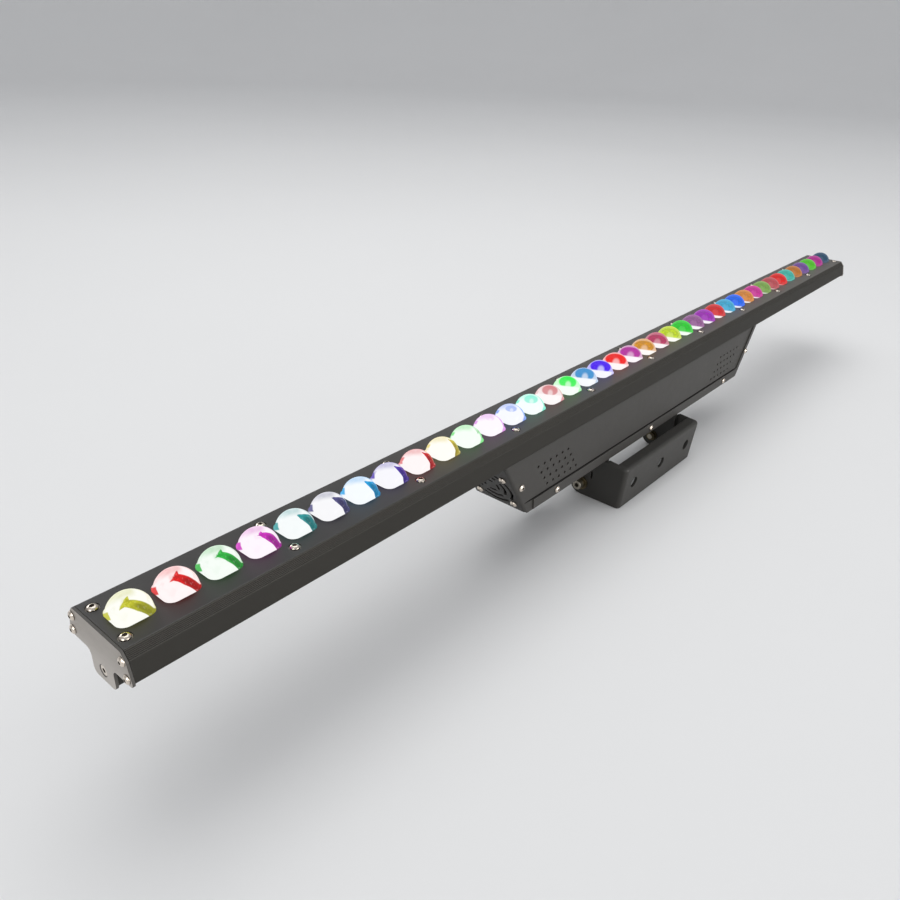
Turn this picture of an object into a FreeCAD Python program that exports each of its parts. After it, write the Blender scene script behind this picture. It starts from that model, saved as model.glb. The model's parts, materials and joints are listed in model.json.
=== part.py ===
import FreeCAD, Part
import math
import os

# LED strip batten: a one metre bar of forty lenses, with a driver housing slung under
# its middle and a tilting hanging yoke under that.
# Modelling frame: X along the bar with its centre at X=0, front towards -Y with the
# centreline at Y=0, top surface of the lens plate at Z=0. Every piece is moved at the
# end so that the yoke's centre hanging hole, on the web's outer face, is the origin.

Vector = FreeCAD.Vector
X_AXIS, Y_AXIS, Z_AXIS = (1, 0, 0), (0, 1, 0), (0, 0, 1)
SIDES = (-1, 1)

# ---------------------------------------------------------------- driving dimensions
LENS_PITCH = 25.0
LENS_COUNT = 40
MODULE_LENSES = 4
MODULE_PITCH = MODULE_LENSES * LENS_PITCH
MODULE_COUNT = LENS_COUNT // MODULE_LENSES
BAR_HALF = 503.2        # half length of the extrusion and lens plate
LENS_X = [(i - (LENS_COUNT - 1) / 2.0) * LENS_PITCH for i in range(LENS_COUNT)]

# screw shanks; a tapped hole is larger by SHANK_GAP
SHANK_GAP = 0.02
PLATE_SHANK_R = 1.46
SMALL_SHANK_R = 1.25    # end plates, boards, control panel and sockets
COVER_SHANK_R = 1.5
MOUNT_SHANK_R = 1.96    # housing roof and floor
BOSS_SHANK_R = 2.1

# lens plate and its gasket
PLATE_T = 2.5
PLATE_HALF_Y = 22.0
APERTURE_X, APERTURE_Y, APERTURE_R = 20.6, 20.2, 5.2
SCREW_RECESS, WASHER_T = 0.9, 0.5
GASKET_T = 0.8
PLATE_SCREW_Y = 14.9
PLATE_SCREW_END_X = 498.2

# extrusion section
SEAT_Z = -(PLATE_T + GASKET_T)
CHANNEL_HALF_Y = 12.0
FLOOR_TOP_Z, FLOOR_BOTTOM_Z = -15.5, -17.5
SHOULDER_Y, SHOULDER_Z = 22.45, -0.35
KNEE_Y, KNEE_Z = 25.9, -4.7
HEEL_Y, HEEL_R = 28.2, 2.2
DUCT_HALF_Y, DUCT_BOTTOM_Z = 9.6, -31.4
DUCT_ROOT_R, DUCT_CORNER_R = 4.6, 2.6
GROOVE_COUNT, GROOVE_DEPTH, GROOVE_MARGIN = 6, 0.25, 0.35
RELIEF_HALF_X = 229.0   # duct milled away over the driver housing
FEED_X = (-200.0, 0.0, 200.0)

# end plates
END_GASKET_T, END_PLATE_T = 0.3, 1.5
END_SEAL_X = BAR_HALF + END_GASKET_T
END_OUTER_X = END_SEAL_X + END_PLATE_T
END_SCREWS = [(22.9, -5.2), (24.8, -14.6)]      # Y, Z on the rear half
BOSS_Z = -25.6

# LED boards, holders and lenses
PAD_T = 0.3
BOARD_TOP = FLOOR_TOP_Z + 1.9
HOLDER_CONE_H = 9.0
FLANGE_BOTTOM_Z = SEAT_Z - 1.2

# driver housing
HOUSING_Y = 24.4        # outer half depth of the shell
SHELL_T, COVER_T = 1.5, 1.2
HOUSING_TOP_Z, HOUSING_BOTTOM_Z = -18.5, -70.6
SLOPE_TOP_X, SLOPE_TOP_Z = 223.0, -20.0
SLOPE_BOTTOM_X = 191.5
LIP_TOP_Z = -60.6
LIP_END_W = 7.0
HOUSING_SCREW_X, HOUSING_SCREW_Y = (-175.0, -60.0, 60.0, 175.0), 15.0
LIP_SCREW_X, LIP_SCREW_Z = (-152.5, 0.0, 157.5), -65.0
END_SCREW_LEFT_X, END_SCREW_RIGHT_X, END_SCREW_Z = -200.8, 204.0, -44.0
VENT_COLUMNS, VENT_ROWS, VENT_R = 6, 4, 1.35
VENT_PITCH_X, VENT_PITCH_Z, VENT_SHIFT = 8.0, 6.7, 4.9
VENT_X, VENT_Z = 180.5, -34.4

# fans
FAN_SLOPE_DIST = 34.5   # fan centre, measured down the sloped end
FAN_HOLE_PITCH = 32.0

# rear panel and sockets
PANEL_W, PANEL_H, PANEL_Z, PANEL_T = 84.0, 34.0, -42.0, 2.0
PANEL_INSET = 3.0       # of the opening and the screws from the panel's edge
PANEL_OUTER_Y = HOUSING_Y + PANEL_T
WINDOW_X = (-34.0, 4.0)
WINDOW_Z = (PANEL_Z - 9.0, PANEL_Z + 9.0)
BUTTONS = {"button_menu": (15.0, PANEL_Z + 6.5), "button_up": (27.0, PANEL_Z + 6.5),
           "button_down": (27.0, PANEL_Z - 6.5), "button_enter": (15.0, PANEL_Z - 6.5)}
BUTTON_R = 3.4
CONTROL_Y = (15.4, 17.0)                        # control board, front and rear faces
SWITCH_BODY_Y, SWITCH_STEM = 20.3, 0.9
SOCKETS = {"power_in": -98.0, "power_out": -66.0, "data_in": 66.0, "data_out": 98.0}
SOCKET_Z, SOCKET_FLANGE_T = -41.0, 2.4
SOCKET_BODY_R, SOCKET_BODY_L, SOCKET_BODY_INSET = 11.8, 20.0, 18.0

# boards inside the housing, upright behind the front sheet
UPRIGHT_Y = (-19.6, -18.0)
PSU_X, DRIVER_X, UPRIGHT_Z = (-168, -12), (12, 168), (-59, -24)
PSU_SCREWS = [(-160, -30), (-160, -53), (-20, -30), (-20, -53)]     # X, Z
DRIVER_SCREWS = [(-x, z) for x, z in PSU_SCREWS]
CHANNEL_X0, CHANNEL_PITCH, CHANNEL_COUNT = 34, 15, 8        # parts on the driver board
TERMINAL_X0, TERMINAL_PITCH, TERMINAL_W, TERMINAL_DEPTH = 26, 12, 10, 9

# pivot bracket and safety lug
PIVOT_Z = -104.0
TAB_OUTER_X, TAB_T, TAB_HALF_Y, TAB_R = 65.7, 2.5, 21, 11.0
TAB_SIDE_END_Z = -87.0
BRACKET_INNER_Z = HOUSING_BOTTOM_Z - TAB_T
BOLT_R = 2.5
BOLT_HOLE_R = BOLT_R + 0.05
LUG_X, LUG_HALF_X, LUG_T, LUG_REAR_Y = -122.0, 16, 3.0, 20
LUG_SCREWS = [(LUG_X - 9, 4.0), (LUG_X + 9, 4.0)]
FLOOR_HOLE_R = 2.1

# yoke
PIVOT_END_R = 11.5
YOKE_X = 69.0           # outer half width
YOKE_T = 2.5
WEB_TILT = 5.2          # degrees, top of the web leans forward
WEB_UP, WEB_DOWN = 19.8, -20.2
ARM_TOP_DEPTH, RETURN_DEPTH = 19.0, 10.6
HANG_Y, HANG_Z = -41.2, -95.0
HANG_SPACING, HANG_R = 50.0, 5.3
INDEX_Y, INDEX_Z, INDEX_R = -9.4, (-95.5, -90.5), 1.15
BUSH_GAP = 0.06
PIVOT_WASHER_T, SMALL_WASHER_T, PIVOT_NUT_H = 1.2, 1.3, 4.0


# ---------------------------------------------------------------- helpers
def box(x0, x1, y0, y1, z0, z1):
    return Part.makeBox(x1 - x0, y1 - y0, z1 - z0, Vector(x0, y0, z0))


def cylinder(radius, height, base, axis=Z_AXIS):
    return Part.makeCylinder(radius, height, Vector(*base), Vector(*axis))


def ring(outer, inner, height, base, axis=Z_AXIS):
    return cylinder(outer, height, base, axis).cut(cylinder(inner, height, base, axis))


def prism(points, travel):
    corners = [Vector(*p) for p in points]
    return Part.Face(Part.makePolygon(corners + [corners[0]])).extrude(Vector(*travel))


def prism_yz(points, x0, x1):
    return prism([(x0, y, z) for y, z in points], (x1 - x0, 0, 0))


def prism_xz(points, y0, y1):
    return prism([(x, y0, z) for x, z in points], (0, y1 - y0, 0))


def prism_xy(points, z0, z1):
    return prism([(x, y, z0) for x, y in points], (0, 0, z1 - z0))


def rounded_prism(width, depth, radius, z0, z1):
    """Upright prism about the Z axis, with a rounded rectangle for its section."""
    half_x, half_y = width / 2.0, depth / 2.0
    inset = radius * (1 - math.sqrt(0.5))
    arcs = []
    for sx, sy in ((1, 1), (-1, 1), (-1, -1), (1, -1)):
        on_side = Vector(sx * half_x, sy * (half_y - radius), z0)
        on_end = Vector(sx * (half_x - radius), sy * half_y, z0)
        mid = Vector(sx * (half_x - inset), sy * (half_y - inset), z0)
        arcs.append((on_side, mid, on_end) if sx == sy else (on_end, mid, on_side))
    outline = []
    for i, (start, mid, end) in enumerate(arcs):
        outline.append(Part.LineSegment(arcs[i - 1][2], start).toShape())
        outline.append(Part.Arc(start, mid, end).toShape())
    return Part.Face(Part.Wire(outline)).extrude(Vector(0, 0, z1 - z0))


def hexagon(across_flats, z0, z1):
    radius = across_flats / math.sqrt(3)
    angles = [math.radians(60 * i) for i in range(6)]
    return prism_xy([(radius * math.cos(a), radius * math.sin(a)) for a in angles], z0, z1)


def arc_points(centre, radius, start, end, steps):
    """Points from the start to the end angle in degrees, both included."""
    angles = [math.radians(start + (end - start) * k / steps) for k in range(steps + 1)]
    return [(centre[0] + radius * math.cos(a), centre[1] + radius * math.sin(a))
            for a in angles]


def tangent_angle(point, centre, radius, turn):
    """Angle in degrees at which a tangent from the point touches the circle."""
    dx, dy = point[0] - centre[0], point[1] - centre[1]
    spread = math.acos(radius / math.hypot(dx, dy))
    return math.degrees(math.atan2(dy, dx) + turn * spread)


def edges(along=None, **planes):
    """Edge test: runs along the named axis, with its middle on each given plane."""
    def test(mid, run):
        if along and abs(getattr(run, along)) <= 0.9:
            return False
        return all(abs(getattr(mid, axis) - place) < 1e-4 for axis, place in planes.items())
    return test


def fillet(shape, radius, chosen):
    """Rounds the edges for which chosen(middle, unit direction) is true."""
    picked = []
    for edge in shape.Edges:
        run = edge.Vertexes[-1].Point.sub(edge.Vertexes[0].Point)
        if run.Length > 1e-6:
            run = run.normalize()
        if chosen(edge.CenterOfMass, run):
            picked.append(edge)
    if not picked:
        raise RuntimeError("no edges to fillet")
    return shape.makeFillet(radius, picked)


def fuse(shapes):
    return shapes[0].multiFuse(shapes[1:]).removeSplitter()


def cut_all(shape, tools):
    return shape.cut(Part.makeCompound(tools))


def largest(shape):
    return max(shape.Solids, key=lambda solid: solid.Volume)


def turned(shape, base, axis=Z_AXIS):
    """A copy of a shape built along +Z at the origin, stood at base along axis."""
    copy = shape.copy()
    rotation = FreeCAD.Rotation(Vector(0, 0, 1), Vector(*axis))
    copy.Placement = FreeCAD.Placement(Vector(*base), rotation).multiply(copy.Placement)
    return copy


def spun(shape, degrees):
    shape.rotate(Vector(0, 0, 0), Vector(0, 0, 1), degrees)
    return shape


def at_lenses(shape, z=0):
    """One copy of the shape at every lens."""
    copies = []
    for x in LENS_X:
        copy = shape.copy()
        copy.translate(Vector(x, 0, z))
        copies.append(copy)
    return Part.makeCompound(copies)


def rectangle(half_x, half_y, mid_y=0):
    """The four corners of a rectangle."""
    return [(sx * half_x, mid_y + sy * half_y) for sx in SIDES for sy in SIDES]


def mirrored_rows(stations, y):
    return [(x, side * y) for x in stations for side in SIDES]


# ---------------------------------------------------------------- screws
# Every screw has its head seat at Z=0, head towards +Z, shank towards -Z.
def button_screw(head_r, head_h, shank_r, length, socket, depth):
    """Domed socket screw with a small chamfer at the tip."""
    rim = 0.28 * head_h
    tip = 0.25
    dome_mid = Vector(head_r * 0.80, 0, rim + (head_h - rim) * 0.62)
    profile = [(0, -length), (shank_r - tip, -length), (shank_r, -length + tip),
               (shank_r, 0), (head_r, 0), (head_r, rim)]        # radius, Z
    profile = [Vector(x, 0, z) for x, z in profile]
    crown, centre = Vector(head_r * 0.42, 0, head_h), Vector(0, 0, head_h)
    outline = [Part.LineSegment(a, b).toShape() for a, b in zip(profile, profile[1:])]
    outline.append(Part.Arc(profile[-1], dome_mid, crown).toShape())
    outline.append(Part.LineSegment(crown, centre).toShape())
    outline.append(Part.LineSegment(centre, profile[0]).toShape())
    screw = Part.Face(Part.Wire(outline)).revolve(Vector(0, 0, 0), Vector(0, 0, 1), 360)
    return screw.cut(hexagon(socket, head_h - depth, head_h + 1))


def cap_screw(head_r, head_h, shank_r, length, socket, depth):
    screw = fuse([cylinder(head_r, head_h, (0, 0, 0)),
                  cylinder(shank_r, length, (0, 0, -length))])
    screw = fillet(screw, 0.4, edges(z=head_h))
    return screw.cut(hexagon(socket, head_h - depth, head_h + 1))


def countersunk_screw(head_r, head_h, shank_r, length, socket, depth):
    screw = fuse([Part.makeCone(shank_r, head_r, head_h, Vector(0, 0, -head_h)),
                  cylinder(shank_r, length, (0, 0, -length))])
    return screw.cut(hexagon(socket, -depth, 1))


# ---------------------------------------------------------------- lens plate
# a pair of screws over every module joint and a pair at each end
PLATE_SCREWS = mirrored_rows(
    [-PLATE_SCREW_END_X] + [MODULE_PITCH * k for k in range(-4, 5)] + [PLATE_SCREW_END_X],
    PLATE_SCREW_Y)


def apertures(z0, z1):
    hole = rounded_prism(APERTURE_X, APERTURE_Y, APERTURE_R, z0, z1)
    return at_lenses(hole).Solids


def top_plate():
    plate = box(-BAR_HALF, BAR_HALF, -PLATE_HALF_Y, PLATE_HALF_Y, -PLATE_T, 0)
    plate = fillet(plate, 0.4, edges(along="x", z=0))
    cuts = apertures(-PLATE_T - 1, 1)
    for x, y in PLATE_SCREWS:
        cuts.append(cylinder(1.6, PLATE_T + 2, (x, y, -PLATE_T - 1)))
        cuts.append(cylinder(3.6, 2, (x, y, -SCREW_RECESS)))
    return cut_all(plate, cuts)


def plate_gasket():
    half_x, half_y = BAR_HALF - 0.5, PLATE_HALF_Y - 0.4
    gasket = box(-half_x, half_x, -half_y, half_y, SEAT_Z, -PLATE_T)
    cuts = apertures(SEAT_Z - 1, 0)
    cuts += [cylinder(1.9, 3, (x, y, SEAT_Z - 1)) for x, y in PLATE_SCREWS]
    return cut_all(gasket, cuts)


def plate_screws():
    screw = button_screw(head_r=2.85, head_h=1.65, shank_r=PLATE_SHANK_R, length=11.0,
                         socket=2.4, depth=1.1)
    return Part.makeCompound([turned(screw, (x, y, WASHER_T - SCREW_RECESS))
                              for x, y in PLATE_SCREWS])


def plate_washers():
    return Part.makeCompound([ring(3.45, 1.6, WASHER_T, (x, y, -SCREW_RECESS))
                              for x, y in PLATE_SCREWS])


# ---------------------------------------------------------------- extrusion
HOUSING_SCREWS = mirrored_rows(HOUSING_SCREW_X, HOUSING_SCREW_Y)


def extrusion_half_outline():
    """Rear (+Y) outline from the channel's top edge down to the duct's bottom, as Y, Z."""
    ledge_y = PLATE_HALF_Y + 0.15
    points = [(CHANNEL_HALF_Y, SEAT_Z), (ledge_y, SEAT_Z), (ledge_y, SHOULDER_Z),
              (SHOULDER_Y, SHOULDER_Z)]
    # fluted chamfer from shoulder to knee
    length = math.hypot(KNEE_Y - SHOULDER_Y, KNEE_Z - SHOULDER_Z)
    run_y, run_z = (KNEE_Y - SHOULDER_Y) / length, (KNEE_Z - SHOULDER_Z) / length
    pitch = (length - 2 * GROOVE_MARGIN) / GROOVE_COUNT
    for groove in range(GROOVE_COUNT):
        # fraction of the groove pitch, depth into the metal
        for fraction, depth in ((0.12, 0), (0.30, GROOVE_DEPTH), (0.62, GROOVE_DEPTH),
                                (0.80, 0)):
            along = GROOVE_MARGIN + (groove + fraction) * pitch
            points.append((SHOULDER_Y + run_y * along + run_z * depth,
                           SHOULDER_Z + run_z * along - run_y * depth))
    points.append((KNEE_Y, KNEE_Z))
    # rounded heel, concave root of the duct, rounded duct corner
    wall = math.degrees(math.atan2(FLOOR_BOTTOM_Z - KNEE_Z, HEEL_Y - KNEE_Y))
    points += arc_points((HEEL_Y - HEEL_R, FLOOR_BOTTOM_Z + HEEL_R), HEEL_R,
                         wall + 90.0, -90, 6)
    points += arc_points((DUCT_HALF_Y + DUCT_ROOT_R, FLOOR_BOTTOM_Z - DUCT_ROOT_R),
                         DUCT_ROOT_R, 90, 180, 6)
    points += arc_points((DUCT_HALF_Y - DUCT_CORNER_R, DUCT_BOTTOM_Z + DUCT_CORNER_R),
                         DUCT_CORNER_R, 0, -90, 5)
    return points


def wall_cavity(side):
    """Hollow in the side wall, less the two end screw ports."""
    section = [(18.4, -5.4), (22.4, -5.4), (24.2, -6.0), (26.3, -15.4), (18.4, -15.4)]
    cavity = prism_yz([(side * y, z) for y, z in section], -BAR_HALF - 1, BAR_HALF + 1)
    for y, z in END_SCREWS:
        port = cylinder(2.35, 2 * BAR_HALF + 4, (-BAR_HALF - 2, side * y, z), X_AXIS)
        cavity = cavity.cut(port)
    # the ports leave slivers beside them, which stay solid metal
    return [solid for solid in cavity.Solids if solid.Volume > 2.0 * 2 * BAR_HALF]


def duct_cavity():
    """Hollow of the duct, less the screw port hanging from its roof."""
    duct = box(-BAR_HALF - 1, BAR_HALF + 1, -7.8, 7.8, -29.6, -20.2)
    port = fuse([cylinder(3.7, 2 * BAR_HALF + 4, (-BAR_HALF - 2, 0, BOSS_Z), X_AXIS),
                 box(-BAR_HALF - 2, BAR_HALF + 2, -1.6, 1.6, BOSS_Z, -19.0)])
    return duct.cut(port).Solids


def bar_bore(radius, y, z):
    return cylinder(radius, 2 * BAR_HALF + 2, (-BAR_HALF - 1, y, z), X_AXIS)


def extrusion_body():
    half = extrusion_half_outline()
    outline = [(CHANNEL_HALF_Y, FLOOR_TOP_Z)] + half
    outline += [(-y, z) for y, z in reversed(half)] + [(-CHANNEL_HALF_Y, FLOOR_TOP_Z)]
    body = prism_yz(outline, -BAR_HALF, BAR_HALF)
    cuts = []
    for side in SIDES:
        cuts += wall_cavity(side)
        cuts += [bar_bore(SMALL_SHANK_R + SHANK_GAP, side * y, z) for y, z in END_SCREWS]
    cuts += duct_cavity()
    cuts.append(bar_bore(BOSS_SHANK_R + SHANK_GAP, 0, BOSS_Z))
    relief_y = DUCT_HALF_Y + 6
    cuts.append(box(-RELIEF_HALF_X, RELIEF_HALF_X, -relief_y, relief_y,
                    -40, FLOOR_BOTTOM_Z))
    cuts += [cylinder(PLATE_SHANK_R + SHANK_GAP, 9.3, (x, y, SEAT_Z - 9.3))
             for x, y in PLATE_SCREWS]
    cuts += [cylinder(MOUNT_SHANK_R + SHANK_GAP, 8.0, (x, y, FLOOR_BOTTOM_Z - 0.01))
             for x, y in HOUSING_SCREWS]
    cuts += [cylinder(4.5, 6, (x, 0, -20)) for x in FEED_X]
    return cut_all(body, cuts)


# ---------------------------------------------------------------- LEDs and lenses
def module_strips(half_x, half_y, z0, z1, notch_r):
    """One strip per module, notched where it meets its neighbours."""
    strips = []
    for module in range(MODULE_COUNT):
        x = (module - (MODULE_COUNT - 1) / 2.0) * MODULE_PITCH
        notches = [cylinder(notch_r, 4, (x + side * MODULE_PITCH / 2, 0, FLOOR_TOP_Z - 1))
                   for side in SIDES]
        strip = box(x - half_x, x + half_x, -half_y, half_y, z0, z1)
        strips.append(cut_all(strip, notches))
    return Part.makeCompound(strips)


def led_emitters():
    dome = Part.makeSphere(1.9, Vector(0, 0, 0.35)).common(box(-3, 3, -3, 3, 0.5, 4))
    return at_lenses(fuse([box(-2.6, 2.6, -2.6, 2.6, 0, 0.75), dome]), BOARD_TOP)


def lens_holders():
    """Hollow cones with a short rim that reaches the lens flange."""
    cone = Part.makeCone(7.2, 10.9, HOLDER_CONE_H, Vector(0, 0, 0))
    cone = cone.cut(Part.makeCone(5.9, 9.7, HOLDER_CONE_H + 0.2, Vector(0, 0, -0.1)))
    rim_h = FLANGE_BOTTOM_Z - (BOARD_TOP + HOLDER_CONE_H)
    return at_lenses(fuse([cone, ring(10.9, 9.75, rim_h, (0, 0, HOLDER_CONE_H))]), BOARD_TOP)


def lenses():
    """Collimating cone, square flange, neck through the plate, and dome."""
    def neck(z0, z1):
        return rounded_prism(APERTURE_X - 0.5, APERTURE_Y - 0.5, APERTURE_R - 0.2, z0, z1)

    cone_z = BOARD_TOP + 2.6
    cone = Part.makeCone(3.4, 9.2, FLANGE_BOTTOM_Z - cone_z, Vector(0, 0, cone_z))
    flange = rounded_prism(22.6, 22.4, 4.0, FLANGE_BOTTOM_Z, SEAT_Z)
    dome = Part.makeSphere(11.3, Vector(0, 0, -1.05)).common(box(-12, 12, -12, 12, 0.2, 14))
    dome = dome.common(neck(-1, 14))
    return at_lenses(fuse([cone, flange, neck(SEAT_Z - 0.05, 0.5), dome]))


def board_jumpers():
    """Two wire links across each module joint, except the one at the bar's centre."""
    jumpers = []
    for joint in (-4, -3, -2, -1, 1, 2, 3, 4):
        x = joint * MODULE_PITCH
        for y in (-7.5, 7.5):
            ends = [box(x + x0, x + x0 + 2.9, y - 1.5, y + 1.5, BOARD_TOP, BOARD_TOP + 1.4)
                    for x0 in (-4.5, 1.6)]
            wire = box(x - 2, x + 2, y - 1.1, y + 1.1, BOARD_TOP + 0.3, BOARD_TOP + 1.1)
            jumpers.append(fuse(ends + [wire]))
    return Part.makeCompound(jumpers)


# ---------------------------------------------------------------- end plates
END_SCREWS_ALL = [(side * y, z) for y, z in END_SCREWS for side in SIDES]


def end_outline():
    """Outline of the end plate as Y, Z."""
    floor_z, bottom_z = -18.6, -32.5
    heel_y, heel_r = 28.75, 2.6
    duct_y, duct_r = 10.4, 3.6
    half = [(0, 0.1), (21.4, 0.1), (22.3, -0.15), (23.0, -0.9), (26.2, -4.7), (28.7, -15.4)]
    half += arc_points((heel_y - heel_r, floor_z + heel_r), heel_r, -8, -98, 5)
    half += arc_points((duct_y + duct_r, floor_z - duct_r), duct_r, 90, 180, 6)
    half += arc_points((duct_y - duct_r, bottom_z + duct_r), duct_r, 0, -90, 5)
    return half + [(-y, z) for y, z in reversed(half) if y > 1e-6]


def end_holes(side, screw_r, boss_r):
    x = side * END_SEAL_X - 5
    holes = [cylinder(screw_r, 10, (x, y, z), X_AXIS) for y, z in END_SCREWS_ALL]
    return holes + [cylinder(boss_r, 10, (x, 0, BOSS_Z), X_AXIS)]


def end_plate(side):
    outer_x = side * END_OUTER_X
    plate = prism_yz(end_outline(), *sorted((side * END_SEAL_X, outer_x)))
    plate = fillet(plate, 0.35, edges(x=outer_x))
    countersink = Part.makeCone(2.3, 3.5, 1.2, Vector(outer_x - side * 1.2, 0, BOSS_Z),
                                Vector(side, 0, 0))
    return cut_all(plate, end_holes(side, 1.65, 2.3) + [countersink])


def end_gaskets():
    """Thin seals between the extrusion and the end plates."""
    outline = [(y * 0.965, z * 0.955 - 0.35) for y, z in end_outline()]
    return Part.makeCompound([
        cut_all(prism_yz(outline, *sorted((side * BAR_HALF, side * END_SEAL_X))),
                end_holes(side, 1.9, 3.0)) for side in SIDES])


def end_screws():
    screw = button_screw(head_r=2.6, head_h=1.5, shank_r=SMALL_SHANK_R, length=12.0,
                         socket=1.8, depth=0.9)
    return Part.makeCompound([turned(screw, (side * END_OUTER_X, y, z), (side, 0, 0))
                              for side in SIDES for y, z in END_SCREWS_ALL])


def boss_screws():
    screw = countersunk_screw(head_r=3.1, head_h=1.0, shank_r=BOSS_SHANK_R, length=14.0,
                              socket=2.5, depth=1.0)
    return Part.makeCompound([
        turned(screw, (side * (END_OUTER_X - 0.25), 0, BOSS_Z), (side, 0, 0))
        for side in SIDES])


# ---------------------------------------------------------------- sloped housing ends
# In X and Z, for the right-hand end: unit vector up the slope, and its outward normal.
SLOPE_LENGTH = math.hypot(SLOPE_TOP_X - SLOPE_BOTTOM_X, SLOPE_TOP_Z - HOUSING_BOTTOM_Z)
SLOPE_X = (SLOPE_TOP_X - SLOPE_BOTTOM_X) / SLOPE_LENGTH
SLOPE_Z = (SLOPE_TOP_Z - HOUSING_BOTTOM_Z) / SLOPE_LENGTH
NORMAL_X, NORMAL_Z = SLOPE_Z, -SLOPE_X


def slope_x(z, inset=0.0):
    """X of the right-hand sloped plane at height z, moved inwards along its normal."""
    return SLOPE_TOP_X + (z - SLOPE_TOP_Z) * SLOPE_X / SLOPE_Z - inset / NORMAL_X


def trapezoid(half_y, top_z, bottom_z, left_inset, right_inset):
    points = [(-slope_x(top_z, left_inset), top_z), (slope_x(top_z, right_inset), top_z),
              (slope_x(bottom_z, right_inset), bottom_z),
              (-slope_x(bottom_z, left_inset), bottom_z)]
    return prism_xz(points, -half_y, half_y)


def on_slope(shape, side, depth):
    """Puts a shape drawn with +Z outward and +X down the slope at a fan's centre,
    sunk by depth; side is -1 for the left end, 1 for the right."""
    normal = Vector(side * NORMAL_X, 0, NORMAL_Z)
    down = Vector(-side * SLOPE_X, 0, -SLOPE_Z)
    across = normal.cross(down)
    matrix = FreeCAD.Matrix(down.x, across.x, normal.x, 0, down.y, across.y, normal.y, 0,
                            down.z, across.z, normal.z, 0, 0, 0, 0, 1)
    centre = Vector(side * (SLOPE_TOP_X - SLOPE_X * FAN_SLOPE_DIST - NORMAL_X * depth), 0,
                    SLOPE_TOP_Z - SLOPE_Z * FAN_SLOPE_DIST - NORMAL_Z * depth)
    placed = shape.copy()
    frame = FreeCAD.Placement(centre, FreeCAD.Placement(matrix).Rotation)
    placed.Placement = frame.multiply(placed.Placement)
    return placed


FAN_HOLES = rectangle(FAN_HOLE_PITCH / 2, FAN_HOLE_PITCH / 2)


def grille(side, depth):
    """Cutters for a fan grille: rings of slots between diagonal bars, and screw holes."""
    slots = []
    # mean radius, slot width, bar width
    for radius, width, bar in ((18.7, 2.7, 4.4), (12.6, 2.6, 4.0), (6.6, 2.4, 3.4)):
        band = ring(radius + width / 2, radius - width / 2, 8, (0, 0, -4))
        bars = [spun(box(-30, 30, -bar / 2, bar / 2, -6, 6), angle) for angle in (45, 135)]
        slots += cut_all(band, bars).Solids
    slots += [cylinder(1.6, 8, (x, y, -4)) for x, y in FAN_HOLES]
    return [on_slope(slot, side, depth) for slot in slots]


# ---------------------------------------------------------------- housing
BRACKET_SCREWS = rectangle(46.0, 13.0)
PANEL_SCREWS = rectangle(PANEL_W / 2 - PANEL_INSET, PANEL_H / 2 - PANEL_INSET, PANEL_Z)


def socket_screws(x):
    return [(x - 9.5 * k, SOCKET_Z + 12.0 * k) for k in SIDES]


def vent_holes():
    return [cylinder(VENT_R, 2 * HOUSING_Y + 10,
                     (side * (VENT_X - VENT_SHIFT * row - VENT_PITCH_X * column),
                      -HOUSING_Y - 5, VENT_Z - VENT_PITCH_Z * row), Y_AXIS)
            for side in SIDES for row in range(VENT_ROWS) for column in range(VENT_COLUMNS)]


def rear_openings():
    """Cutters for the control panel and the sockets in the rear sheet."""
    y = HOUSING_Y - 4
    tap_r = SMALL_SHANK_R + SHANK_GAP
    half_x, half_z = PANEL_W / 2 - PANEL_INSET, PANEL_H / 2 - PANEL_INSET
    cuts = [box(-half_x, half_x, y, HOUSING_Y + 2, PANEL_Z - half_z, PANEL_Z + half_z)]
    cuts += [cylinder(tap_r, 6, (x, y, z), Y_AXIS) for x, z in PANEL_SCREWS]
    for socket_x in SOCKETS.values():
        cuts.append(cylinder(12.1, 8, (socket_x, y, SOCKET_Z), Y_AXIS))
        cuts += [cylinder(tap_r, 8, (x, y, z), Y_AXIS) for x, z in socket_screws(socket_x)]
    return cuts


def housing_shell():
    """Roof, left sloped end, front and rear sheets."""
    def rounded(mid, run):
        # the left end's slanted edges and everything round the roof
        return mid.x < 0 if abs(run.z) > 0.5 else mid.z > -40

    outer = trapezoid(HOUSING_Y, HOUSING_TOP_Z, HOUSING_BOTTOM_Z + COVER_T, 0.0, COVER_T)
    inner = trapezoid(HOUSING_Y - SHELL_T, HOUSING_TOP_Z - SHELL_T, HOUSING_BOTTOM_Z - 4,
                      SHELL_T, -12.0)
    shell = fillet(outer, 2.4, rounded).cut(fillet(inner, 0.9, rounded))
    cuts = [box(-205, 205, -12.0, 12.0, -30, 0)]        # wiring slot in the roof
    cuts += [cylinder(2.05, 4, (x, y, HOUSING_TOP_Z - 3)) for x, y in HOUSING_SCREWS]
    cuts += grille(-1, SHELL_T / 2)
    cuts += vent_holes()
    fixings = [(x, LIP_SCREW_Z) for x in LIP_SCREW_X]
    fixings += [(END_SCREW_LEFT_X, END_SCREW_Z), (END_SCREW_RIGHT_X, END_SCREW_Z)]
    cuts += [cylinder(COVER_SHANK_R + SHANK_GAP, 8, (x, side * (HOUSING_Y - 4), z),
                      (0, side, 0)) for side in SIDES for x, z in fixings]
    cuts += rear_openings()
    return largest(cut_all(shell, cuts))


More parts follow.
